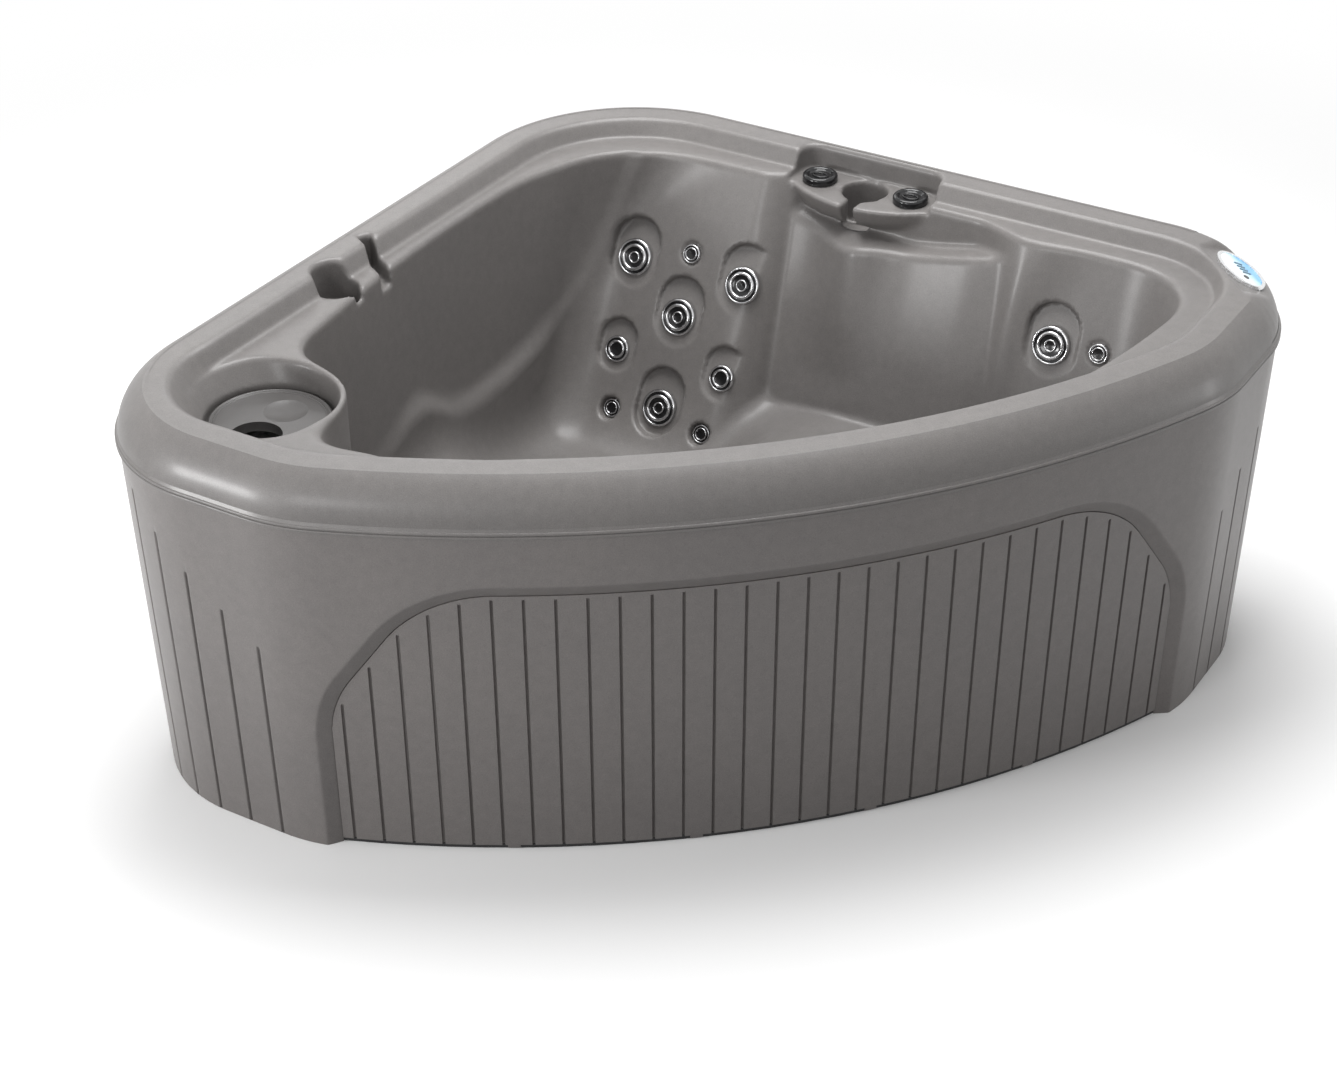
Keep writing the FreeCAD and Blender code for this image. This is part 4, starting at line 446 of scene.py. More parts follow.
# Basin walls: distance in from the outline at the ledge, and how much further in they are at the bench
RIGHT_WALL = 148.0
RIGHT_LEAN = 37.0
LEFT_WALL = 151.0
LEFT_LEAN = 40.0
LEFT_MIDDLE = 630.0
LEFT_HALF = 560.0
LEFT_BULGE = 50.0
RETURN_WALL = 160.0
RETURN_LEAN = 105.0
FRONT_WALL = 142.0
FRONT_LEAN = 128.0

# Seats: their backs start at one height, each at its own distance from the right wall
BACK_TOP = 640.0
LOUNGE_BACK = 200.0
LOUNGE_LEFT = 204.0
LOUNGE_RIGHT = 648.0
LOUNGE_RECLINE = math.tan(math.radians(24.2))
HIP_LEVEL = 170.0
KNEE = 850.0
ARM_END = 640.0
SEAT_BACK = 190.0
SEAT_SURROUND = 204.0
SEAT_LEFT = 1095.0
SEAT_RIGHT = 1439.0
SEAT_LEVEL = 280.0
SEAT_RECLINE = math.tan(math.radians(19.3))

# Filter pot and control island, placed by their distances in from the two walls
POT = (266.0, 1362.0)
POT_RADIUS = 130.0
POT_BORE = 112.0
POT_LOWER_BORE = 98.0
POT_SEAT = 664.0
POT_NECK = 640.0
POT_FLOOR = 330.0
ISLAND = 738.0
ISLAND_HALF = 150.0
ISLAND_TOP = 690.0
ISLAND_FOOT = 628.0

# Rim: its shoulder is an arc that springs from the bead and meets the flat top at a crease
RIM_ROUND = 100.0
RIM_CENTRE = 104.0
RIM_SPRING = 653.4
RIM_FLAT = 54.0
RIM_INNER = 106.0
RIM_SKIN = 0.4

# Sloping facet for the topside control, and its stretch of the rim in degrees round the side corner
FACET_HINGE = SIDE_CENTRE[0] + SIDE_ROUND - 103
FACET_TILT = math.radians(16)
FACET_TOP = 735.0
FACET_HALF = 90.0
FACET_FORWARD = 18.0
FACET_INNER = 150.0
FACET_FROM = -42.0
FACET_TO = 34.0

LARGE_JET = 35.0
MEDIUM_JET = 25.0
SMALL_JET = 18.0
POCKET_SINK = 6.0
POCKET_CLEAR = 40.0


def back_jet(u, z, radius, start, recline):
    """A jet on a seat back: place, direction, radius of its face."""
    lean = math.atan(recline)
    facing = np.array([-DIAGONAL * math.cos(lean), -DIAGONAL * math.cos(lean), math.sin(lean)])
    return at(u, start + (BACK_TOP - z) * recline, z), facing, radius


def lounge_jet(offset, z, radius):
    return back_jet((LOUNGE_LEFT + LOUNGE_RIGHT) / 2 + offset, z, radius, LOUNGE_BACK, LOUNGE_RECLINE)


def corner_jet(u, z, radius):
    return back_jet(u, z, radius, SEAT_BACK, SEAT_RECLINE)


JETS = {
    "shoulder_jet_left": lounge_jet(-123, 500, LARGE_JET),
    "shoulder_jet_right": lounge_jet(123, 500, LARGE_JET),
    "spine_jet": lounge_jet(0, 415, LARGE_JET),
    "lumbar_jet": lounge_jet(0, 246, LARGE_JET),
    "seat_jet": corner_jet(1191, 527, LARGE_JET),
    "kidney_jet_left": lounge_jet(-121, 329, MEDIUM_JET),
    "kidney_jet_right": lounge_jet(121, 329, MEDIUM_JET),
    "small_jet_top": lounge_jet(0, 532, SMALL_JET),
    "small_jet_left": lounge_jet(-104, 222, SMALL_JET),
    "small_jet_right": lounge_jet(104, 222, SMALL_JET),
    "small_jet_seat": corner_jet(1286, 534, SMALL_JET),
}


def plan_inset(x, y):
    """Signed distance in from the rim's widest line, positive inside."""
    points, _ = outline_points(24.0)
    ends = np.roll(points, -1, axis=0)
    best = np.full(x.shape, 1e9)
    crossing = np.zeros(x.shape, dtype=bool)
    for a, b in zip(points, ends):
        run = b - a
        share = np.clip(((x - a[0]) * run[0] + (y - a[1]) * run[1]) / (run @ run), 0, 1)
        best = np.minimum(best, np.hypot(x - a[0] - share * run[0], y - a[1] - share * run[1]))
        spans = (a[1] > y) != (b[1] > y)
        crossing ^= spans & (x < run[0] * (y - a[1]) / (run[1] if run[1] else 1e-9) + a[0])
    return np.where(crossing, best, -best)


class Grid:
    """Sample points over the tub, with their distances in from the walls, the rim and the front."""

    def __init__(self, step):
        self.step = step
        self.axes = [
            np.arange(low, high + step, step, dtype=np.float32) for low, high in zip(GRID_LOW, GRID_HIGH)]
        x, y = np.meshgrid(*self.axes[:2], indexing="ij")
        self.x = x[:, :, None]
        self.y = y[:, :, None]
        self.z = self.axes[2][None, None, :]
        self.u = (APEX - self.y + self.x) * DIAGONAL
        self.v = (APEX - self.y - self.x) * DIAGONAL
        self.inset = plan_inset(self.x, self.y).astype(np.float32)
        self.bow = BOW - np.hypot(self.x, self.y - BOW_Y)
        self.right_return = RETURN_REACH - (self.x - self.y) * DIAGONAL
        self.left_return = RETURN_REACH - (-self.x - self.y) * DIAGONAL

    def away_from(self, u, v):
        return np.hypot(self.u - u, self.v - v)

    def round_well(self, u, v, radius, floor):
        return np.maximum(self.away_from(u, v) - radius, floor - self.z)

    def square_well(self, u, v, half_u, half_v, floor):
        plan = np.maximum(np.abs(self.u - u) - half_u, np.abs(self.v - v) - half_v)
        return np.maximum(plan, floor - self.z)


def smooth_step(value, start, run):
    share = np.clip((value - start) / run, 0, 1)
    return share * share * (3 - 2 * share)


def sloping(value, place, level, slope):
    return level + (value - place) * slope


def bell(value, place, run, height):
    return height * np.exp(-((value - place) / run) ** 2)


def fading(value, place, run, height):
    return height * np.exp(-(value - place) / run)


def above_profile(grid, height):
    """Space above a seat's side profile, which is given as heights along v."""
    knots = np.arange(-200.0, 2200.0, 2.0)
    level = height(knots)
    lean = 1 / np.sqrt(1 + np.gradient(level, knots) ** 2)
    level, lean = (np.interp(grid.v, knots, values).astype(np.float32) for values in (level, lean))
    return (level - grid.z) * lean


def lounge_height(v):
    """Side profile of the lounge: back, hip, thigh up to the knee, calf down to the foot end."""
    hip = np.full_like(v, HIP_LEVEL)
    thigh = smooth_max(hip, sloping(v, place=640, level=HIP_LEVEL, slope=0.62), 70)
    leg = smooth_min(thigh, sloping(v, place=KNEE, level=300, slope=-0.348), 80)
    back = sloping(v, LOUNGE_BACK, BACK_TOP, -1 / LOUNGE_RECLINE)
    return smooth_max(smooth_max(leg, back, 170), sloping(v, place=1180, level=185, slope=3.0), 110)


def seat_height(v):
    """Side profile of the corner seat: back, flat, and a rise at its front end."""
    back = sloping(v, SEAT_BACK, BACK_TOP, -1 / SEAT_RECLINE)
    flat = smooth_max(np.full_like(v, SEAT_LEVEL), back, 150)
    return smooth_max(flat, sloping(v, place=720, level=SEAT_LEVEL, slope=1.2), 60)


def bolster_height(v):
    """Crest of the armrest along the left wall: high at the back, low at the hip, up at the knee."""
    hip = 343
    shin_rise = 38
    shoulder = fading(np.maximum(v, 150), place=255, run=105, height=248)
    shin = shin_rise / (1 + fading(v, KNEE, run=60, height=1))
    return hip + shoulder + (bell(v, KNEE, run=88, height=58) + shin)


def shelf_height(u):
    """Top of the swell under the control island, lowest a little to the right of the island."""
    turn = 40
    return sloping(np.sqrt((u - 850) ** 2 + turn ** 2), place=turn, level=618, slope=0.21)


def wall_field(grid, depth, right_wall):
    """Basin walls, which lean inward with a depth of 0 at the ledge and 1 at the bench."""
    left_wall = LEFT_WALL + ((grid.v - LEFT_MIDDLE) / LEFT_HALF) ** 2 * LEFT_BULGE
    end_wall = RETURN_WALL + RETURN_LEAN * depth
    back = smooth_max(left_wall - grid.u + LEFT_LEAN * depth, right_wall - grid.v, 350)
    ends = smooth_max(end_wall - grid.right_return, end_wall - grid.left_return, 40)
    front = smooth_max(ends, FRONT_WALL + FRONT_LEAN * depth - grid.bow, 150)
    return smooth_max(back, front, 170)


def basin_hollow(grid):
    """Basin over its bench, less the armrest beside the lounge and the swell under the island."""
    depth = (LEDGE - grid.z) / (LEDGE - BENCH)
    seat_side = smooth_step(grid.u, start=985, run=130)
    surround = SEAT_SURROUND + (BACK_TOP - grid.z) * SEAT_RECLINE
    right_wall = (1 - seat_side) * (RIGHT_WALL + RIGHT_LEAN * depth) + seat_side * surround
    basin = smooth_max(wall_field(grid, depth, right_wall), BENCH - grid.z, 70)
    arm = smooth_max(grid.z - bolster_height(grid.v), grid.u - ARM_END, 36)
    basin = smooth_max(basin, -arm, 30)
    swell_reach = 193
    swell_foot = 311
    swell_fall = 0.12
    swell_scale = 0.95
    seat_lip = 20
    shelf = shelf_height(grid.u)
    reach = swell_reach + bell(grid.u, place=745, run=70, height=44)
    face = reach + (swell_foot - reach) * (shelf - grid.z) / (shelf - BENCH)
    face = (1 - seat_side) * face + seat_side * (surround - seat_lip)
    top = shelf + swell_fall * (reach - grid.v)
    swell = smooth_max((grid.v - face) * swell_scale, grid.z - top, 12)
    return smooth_max(basin, -swell, 12)


def with_seats(basin, grid):
    """Hollows of the lounge and the corner seat, which end at the basin's upper outline."""
    shut = wall_field(grid, 0, RIGHT_WALL)
    widening = 60 * smooth_step(grid.z, start=270, run=110)
    sides = np.maximum(LOUNGE_LEFT - grid.u, grid.u - LOUNGE_RIGHT - widening)
    lounge = smooth_max(smooth_max(above_profile(grid, lounge_height), sides, 100), shut, 30)
    sides = np.maximum(sloping(grid.z, place=645, level=SEAT_LEFT, slope=0.36) - grid.u, grid.u - SEAT_RIGHT)
    seat = smooth_max(smooth_max(above_profile(grid, seat_height), sides, 140), shut, 60)
    blend = 30 + 110 * smooth_step(grid.u, start=450, run=150)
    return smooth_min(smooth_min(basin, lounge, blend), seat, 26)


def with_footwell(hollow, grid):
    """Four-sided well for the feet."""
    left = 700
    right = 1100
    back = 600
    front = 1840
    floor = 110
    across = smooth_max(left - grid.u, grid.u - right, 90)
    along = smooth_max(back - grid.v, (grid.u + grid.v - front) * DIAGONAL, 90)
    well = smooth_max(smooth_max(across, along, 90), floor - grid.z, 60)
    return smooth_min(hollow, well, 26)


def with_pot_and_island(hollow, grid):
    """Filter pot in the left corner, and the control island with its hull-shaped underside."""
    pot = np.maximum(grid.away_from(*POT) - POT_RADIUS, grid.z - LEDGE)
    hollow = smooth_max(hollow, -pot, 110)
    hull_middle = -40
    hull_radius = 237
    hull_taper = 75
    sag = np.clip((ISLAND_TOP - grid.z) / (ISLAND_TOP - ISLAND_FOOT), 0, 1)
    plan = grid.away_from(ISLAND, hull_middle) - hull_radius
    plan = np.maximum(plan, np.abs(grid.u - ISLAND) - ISLAND_HALF)
    hull = plan + hull_taper * (1 - np.sqrt(1 - sag ** 2))
    island = np.maximum(hull, np.maximum(grid.z - ISLAND_TOP, ISLAND_FOOT - grid.z))
    return smooth_max(hollow, -island, 7)


def with_mouth(hollow, grid):
    """Mouth inside the rim, with a sloping step down to the ledge, and the pot's bore with its weir."""
    step_in = 0.89
    step_down = 0.45
    flare_back = 0.66
    flare_less = 0.46
    flare_scale = 0.85
    weir_reach = 104
    weir_top = 608
    mouth = (RIM_INNER - grid.inset) * step_in + (HEIGHT - grid.z) * step_down
    hollow = smooth_min(hollow, np.maximum(mouth, LEDGE - grid.z), 12)
    away = grid.away_from(*POT)
    toward_basin = (grid.u - POT[0] - grid.v + POT[1]) * DIAGONAL / np.maximum(away, 1)
    flare = flare_back - flare_less * smooth_step(toward_basin, start=-0.2, run=1)
    upper_bore = POT_BORE + np.maximum(grid.z - POT_SEAT, 0) * flare
    bore = np.where(grid.z > POT_NECK, upper_bore, POT_LOWER_BORE)
    hollow = smooth_min(hollow, np.maximum((away - bore) * flare_scale, POT_FLOOR - grid.z), 6)
    weir = grid.square_well(POT[0] + weir_reach, POT[1], half_u=weir_reach, half_v=45, floor=552)
    return smooth_min(hollow, np.maximum(weir, grid.z - weir_top), 8)


def with_holders(hollow, grid):
    """Niche over the island, cup holders in the island and the ledge, and the bottle slot."""
    niche_back = 68
    niche_front = 240
    niche = smooth_max(niche_back - grid.v, np.abs(grid.u - ISLAND) - ISLAND_HALF, 40)
    niche = np.maximum(np.maximum(niche, grid.v - niche_front), ISLAND_TOP - grid.z)
    hollow = smooth_min(hollow, niche, 5)
    cup = grid.round_well(ISLAND, v=116, radius=44, floor=610)
    slit = grid.square_well(ISLAND, v=160, half_u=12, half_v=46, floor=648)
    hollow = smooth_min(hollow, smooth_min(cup, slit, 10), 5)
    cup = grid.round_well(u=123, v=986, radius=41, floor=635)
    gate = grid.square_well(u=170, v=978, half_u=20, half_v=8, floor=689)
    slot_u = 129
    slot_v = 870
    slot_run = (0.866, 0.5)
    slot_middle = 4
    slot_half = (56, 11)
    slot_floor = 672
    along = (grid.u - slot_u) * slot_run[0] + (grid.v - slot_v) * slot_run[1]
    across = (grid.v - slot_v) * slot_run[0] - (grid.u - slot_u) * slot_run[1]
    slot = np.maximum(np.abs(across) - slot_half[1], np.abs(along - slot_middle) - slot_half[0])
    slot = np.maximum(slot, slot_floor - grid.z)
    return smooth_min(hollow, smooth_min(smooth_min(cup, gate, 14), slot, 8), 7)


def with_jet_pockets(hollow, grid):
    """Pockets in the seat backs round the jets, deeper and drawn out upward where a jet isn't small."""
    for place, facing, radius in JETS.values():
        large = radius > SMALL_JET
        reach = radius * 2 + POCKET_CLEAR
        pick = []
        for spot, axis in zip(place, grid.axes):
            first = int((spot - reach - axis[0]) / grid.step)
            pick.append(slice(max(0, first), int((spot + reach - axis[0]) / grid.step) + 2))
        pick = tuple(pick)
        near = grid.x[pick[:2]], grid.y[pick[:2]], grid.z[:, :, pick[2]]
        offset = np.stack(np.broadcast_arrays(*(n - spot for n, spot in zip(near, place))), axis=-1)
        upward = unit(np.array([0, 0, 1]) - facing * facing[2])
        out = offset @ facing
        tall = offset @ upward
        side = offset @ np.cross(upward, facing)
        rise = 0.9 * radius if large else 0.0
        margin = 15.0 if large else 4.0
        plan = np.hypot(side, tall - np.clip(tall, -0.2 * rise, rise)) - radius - margin
        sink = 1.5 + 0.11 * np.maximum(tall + 45, 0) if large else POCKET_SINK
        pocket = np.maximum(np.maximum(plan, -sink - out), out - POCKET_CLEAR)
        hollow[pick] = smooth_min(hollow[pick], pocket.astype(np.float32), 4)
    return hollow


def with_facet(hollow, grid):
    """Space over the sloping facet that carries the topside control."""
    front_rise = 0.45
    back_rise = 1.2
    beside = grid.y - SIDE_CENTRE[1] + FACET_FORWARD
    rise = np.where(beside < 0, front_rise, back_rise) * np.maximum(np.abs(beside) - FACET_HALF, 0)
    slope = (rise - (grid.x - FACET_HINGE) * math.tan(FACET_TILT)).astype(np.float32)
    facet = (FACET_TOP + slope - grid.z) * math.cos(FACET_TILT)
    return smooth_min(hollow, np.maximum(facet, FACET_HINGE - grid.x), 5)


def rim_outside(grid):
    """Outside of the rim, a hair inside the swept strip that covers its rounded shoulder."""
    turn_x = np.maximum(RIM_CENTRE - grid.inset, 0)
    turn_z = np.maximum(grid.z - RIM_SPRING, 0)
    shoulder = np.where(
        (turn_x > 0) & (turn_z > 0), np.sqrt(turn_x ** 2 + turn_z ** 2) - RIM_ROUND,
        RIM_CENTRE - RIM_ROUND - grid.inset)
    return np.maximum(shoulder, grid.z - HEIGHT) + RIM_SKIN


def by_control(points, spare=0.0):
    """Whether points lie on the part of the rim that carries the topside control."""
    offset = points[:, :2] - SIDE_CENTRE
    turn = np.degrees(np.arctan2(offset[:, 1], offset[:, 0]))
    return (np.hypot(*offset.T) > FACET_INNER) & (turn > FACET_FROM - spare) & (turn < FACET_TO + spare)


def without_loose(points, quads):
    """Points that the quads use, and the quads numbered to match."""
    used = np.unique(quads)
    renumber = np.zeros(len(points), dtype=np.int32)
    renumber[used] = np.arange(len(used))
    return points[used], renumber[quads]


def tub_shell():
    grid = Grid(STEP)
    hollow = basin_hollow(grid)
    for step in (with_seats, with_footwell, with_pot_and_island, with_mouth, with_holders, with_jet_pockets,
                 with_facet):
        hollow = step(hollow, grid)
    points, quads = surface(smooth_max(rim_outside(grid), -hollow, 9), GRID_LOW, STEP)
    middle = points[quads].mean(axis=1)
    edge = plan_inset(middle[:, 0], middle[:, 1])
    keep = (edge > RIM_FLAT + 1) | ((middle[:, 2] > BEAD_FOOT + 2) & by_control(middle, 3.0))
    shell = mesh_object("tub_surface", *without_loose(points, quads[keep]), SHELL, "tub", "moulded_shell")
    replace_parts(shell, "tub_shell")
    # Underside, coarser, a wall's thickness away from the hollow
    coarse = 3
    wall = 12
    margin = 20
    points, quads = surface(wall - hollow[::coarse, ::coarse, ::coarse], GRID_LOW, STEP * coarse)
    middle = points[quads].mean(axis=1)
    keep = (middle[:, 2] < LEDGE - margin) & (plan_inset(middle[:, 0], middle[:, 1]) > margin)
    mesh_object("tub_underside", *without_loose(points, quads[keep]), SHELL, "tub", "moulded_shell")


tub_shell()


# Double bead round the foot of the rim, then its shoulder and the outer edge of its flat top


def swept(name, section, length, closed):
    """A (distance in, height) section carried along the outline."""
    place, normal = on_outline(length)
    points = []
    for inset, z in section:
        points.append(np.column_stack([place - normal * inset, np.full(len(place), z)]))
    faces = lattice(len(section), len(length), close_columns=closed)
    mesh_object(name, np.vstack(points), faces, SHELL, "tub", "moulded_shell", sharp=24)


def rim():
    samples = 900
    bead = 3.2
    turn = 1.35
    overlap = 4
    section = [(9.0, BEAD_FOOT - 1)]
    for centre in (BEAD_FOOT + 3, BEAD_FOOT + 9.5):
        for angle in np.linspace(-turn, turn, 13):
            section.append((bead - bead * math.cos(angle), centre + bead * math.sin(angle)))
    section.append((5.0, BEAD_FOOT + 18))
    swept("rim_bead", section, np.linspace(0, PERIMETER, samples, endpoint=False), True)
    shoulder = []
    for angle in np.linspace(0.1, math.pi / 3, 16):
        shoulder.append((RIM_CENTRE - RIM_ROUND * math.cos(angle), RIM_SPRING + RIM_ROUND * math.sin(angle)))
    shoulder[-1] = (RIM_FLAT, HEIGHT)
    shoulder += [(RIM_FLAT + 2, HEIGHT), (RIM_FLAT + 6, HEIGHT)]
    facet = np.flatnonzero(by_control(FINE_POINTS))
    start = FINE_LENGTH[facet[-1]] - overlap
    end = FINE_LENGTH[facet[0]] + overlap + PERIMETER
    swept("rim_shoulder", shoulder, np.linspace(start, end, samples), False)


rim()


# Cabinet skirt with its arched opening and pillar grooves

SKIRT_INSET = 30.0
SKIRT_DRAFT = 25.0
SKIRT_WALL = 8.0
PILLAR_MARGIN = 22.0
PILLAR_GROOVES = 5
PILLAR_START = 65.0
PILLAR_PITCH = 68.0
PILLAR_TOP = 396.0
PILLAR_RISE = 52.0
GROOVE_WIDTH = 6.0
GROOVE_SINK = 5.0
GROOVE_SHARES = (0.25, 0.42, 0.5, 0.56, 0.9)
COLUMN_STEP = 22.0
ARCH_HALF = 785.0
ARCH_SHOULDER = 305.0
ARCH_TOP_HALF = 612.0
ARCH_TOP = 556.0
ARCH_ROUND = 240.0
BEVEL_WIDTH = 26.0
BEVEL_DEPTH = 16.0
BEVEL_RETURN = 14.0
PANEL_FACE = 14.6
PANEL_BACK = 21.0
PANEL_GAP = 0.6


def on_skirt(length, z, sink):
    """Points on the leaning walls, or sunk into them, at lengths along the outline and heights."""
    place, normal = on_outline(length)
    z = np.broadcast_to(z, np.shape(length))
    inset = SKIRT_INSET - SKIRT_DRAFT * z / BEAD_FOOT + sink
    flat = place - normal * np.asarray(inset)[..., None]
    return np.concatenate([flat, np.asarray(z)[..., None]], axis=-1)


def arch_curve(count):
    """Points of the arch over the front, as places across it and heights, left to right."""
    right = [(ARCH_HALF, 0), (ARCH_HALF, ARCH_SHOULDER), (ARCH_TOP_HALF, ARCH_TOP)]
    corners = [np.array(c, dtype=float) for c in [(-x, z) for x, z in right] + right[::-1]]
    path = [corners[0]]
    for previous, corner, following in zip(corners, corners[1:], corners[2:]):
        before = unit(previous - corner)
        after = unit(following - corner)
        half = math.acos(np.clip(before @ after, -1, 1)) / 2
        centre = corner + unit(before + after) * ARCH_ROUND / math.sin(half)
        first = corner + before * ARCH_ROUND / math.tan(half) - centre
        final = corner + after * ARCH_ROUND / math.tan(half) - centre
        for share in np.linspace(0, 1, 25):
            path.append(centre + unit(first * (1 - share) + final * share) * ARCH_ROUND)
    path.append(corners[-1])
    path = np.array(path)
    length = lengths_along(path)
    return between(np.linspace(0, length[-1], count), length, path)


def bow_length(x):
    """Length along the front for a place across it."""
    right = FINE_POINTS[:, 0][: np.argmax(FINE_POINTS[:, 0])]
    reach = np.interp(np.abs(x), right, FINE_LENGTH[: len(right)])
    return np.sign(x) * reach


def pillar_grooves():
    """Lengths along the outline and top heights of the grooves on the right pillar."""
    grooves = []
    corner = CORNER + np.array([0, APEX])
    straight = RETURN_SIDE - SIDE_ROUND
    for index in range(PILLAR_GROOVES):
        reach = PILLAR_START + PILLAR_PITCH * index
        point = corner + np.array([DIAGONAL, DIAGONAL]) * min(reach, straight)
        extra = max(0.0, reach - straight)
        grooves.append((length_at(point) + extra, PILLAR_TOP + PILLAR_RISE * index))
    return grooves


def groove_depth(length, z, spots, width, run_out):
    """Depth of upright grooves with rounded bottoms and tops that fade out."""
    result = np.zeros(np.broadcast(length, z).shape)
    for spot, top in spots:
        across = np.clip(1 - (np.abs(length - spot) / (width / 2)) ** 2, 0, 1)
        below = np.clip((top - z) / run_out, 0, 1)
        result = np.maximum(result, GROOVE_SINK * across ** 0.5 * np.sqrt(1 - (1 - below) ** 2))
    return result


def groove_columns(spots, width, low, high, step):
    """Column places between two lengths, gathered close round each groove."""
    columns = list(np.arange(low, high, step)) + [high]
    for spot, _ in spots:
        columns.append(spot)
        for share in GROOVE_SHARES:
            columns += [spot - width * share, spot + width * share]
    columns = np.unique(np.round([c for c in columns if low <= c <= high], 2))
    kept = [columns[0]]
    for column in columns[1:]:
        if column - kept[-1] > 0.4:
            kept.append(column)
    kept[-1] = high
    return np.array(kept)


def arch_line(inset, count):
    """The arch moved inward, as lengths along the outline and heights, left to right."""
    curve = arch_curve(count)
    line = np.column_stack([bow_length(curve[:, 0]), curve[:, 1]])
    tangent = np.gradient(line, axis=0)
    tangent /= np.linalg.norm(tangent, axis=1, keepdims=True)
    line = line - inset * np.column_stack([-tangent[:, 1], tangent[:, 0]])
    line[:, 1] = np.maximum(line[:, 1], 0)
    return line


def cabinet_skirt():
    run_out = 14.0
    reach = length_at(CORNER + np.array([0, APEX])) + PILLAR_MARGIN
    # Pillars, side corners and back walls
    right = pillar_grooves()
    spots = right + [(PERIMETER - spot, top) for spot, top in right]
    columns = groove_columns(spots, GROOVE_WIDTH, reach, PERIMETER - reach, COLUMN_STEP)
    rows = list(np.linspace(0, BEAD_FOOT, 40))
    for _, top in right:
        rows += [top - drop for drop in (0.0, 1.5, 4.0, 8.0, run_out)]
    rows = np.unique(np.round(rows, 1))
    length, z = np.meshgrid(columns, rows)
    walls = on_skirt(length, z, groove_depth(length, z, spots, GROOVE_WIDTH, run_out))
    # Front, from the arch's bevel out to the pillars and the rim
    across = np.linspace(-reach, reach, 150)[1:-1]
    ends = np.vstack([
        np.column_stack([np.full(len(rows), -reach), rows]),
        np.column_stack([across, np.full(len(across), BEAD_FOOT)]),
        np.column_stack([np.full(len(rows), reach), rows[::-1]])])
    inner = arch_line(BEVEL_WIDTH, len(ends))
    layers = [on_skirt(inner[:, 0], inner[:, 1], BEVEL_DEPTH + BEVEL_RETURN)]
    slope = [(BEVEL_WIDTH * share, BEVEL_DEPTH * share) for share in (1, 0.96, 0.7, 0.4, 0.16, 0.06)]
    for inset, sink in slope + [(-0.8, 0.2), (-3.0, 0.0), (-9.0, 0.0)]:
        line = arch_line(inset, len(ends))
        layers.append(on_skirt(line[:, 0], line[:, 1], sink))
    for share in np.linspace(0, 1, 11)[1:]:
        spot = line * (1 - share) + ends * share
        layers.append(on_skirt(spot[:, 0], spot[:, 1], 0.0))
    points = np.vstack(layers + [walls.reshape(-1, 3)])
    faces = np.vstack([
        lattice(len(layers), len(ends)),
        lattice(len(rows), len(columns)) + len(layers) * len(ends)])
    skirt = mesh_object("skirt_walls", points, faces, SKIRT, "tub", "moulded_skirt")
    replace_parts(skirt, "cabinet_skirt")
    weld = bmesh.new()
    weld.from_mesh(skirt.data)
    bmesh.ops.remove_doubles(weld, verts=weld.verts, dist=0.0002)
    weld.to_mesh(skirt.data)
    weld.free()
    # Inner side of the walls, with the turned-in bottom edge
    columns = np.linspace(reach, PERIMETER - reach, 160)
    points = [on_skirt(columns, 0.0, 0.0)]
    for z in (0.0, 160.0, 320.0, 480.0, BEAD_FOOT - 2):
        points.append(on_skirt(columns, z, SKIRT_WALL))
    faces = lattice(len(points), len(columns), flip=True)
    mesh_object("skirt_lining", np.vstack(points), faces, SKIRT, "tub", "moulded_skirt", sharp=50)


cabinet_skirt()


# Access panel with its upright grooves, and the tabs at its foot

PANEL_FOOT = 9.0
PANEL_GROOVES = 30
PANEL_PITCH = 52.4
PANEL_GROOVE = 5.4
PANEL_CLEAR = 7.0
PANEL_MARGIN = 9.0
PANEL_STEP = 18.0
TABS = 4
TAB_PITCH = 320.0
TAB_HALF = 11.0
TAB_SECTION = [
    (1.0, PANEL_FOOT + 2), (1.0, 4.0), (1.6, 1.6), (3.2, 0.5), (6.0, 0.5), (7.0, 1.4), (7.0, PANEL_FOOT + 2)]


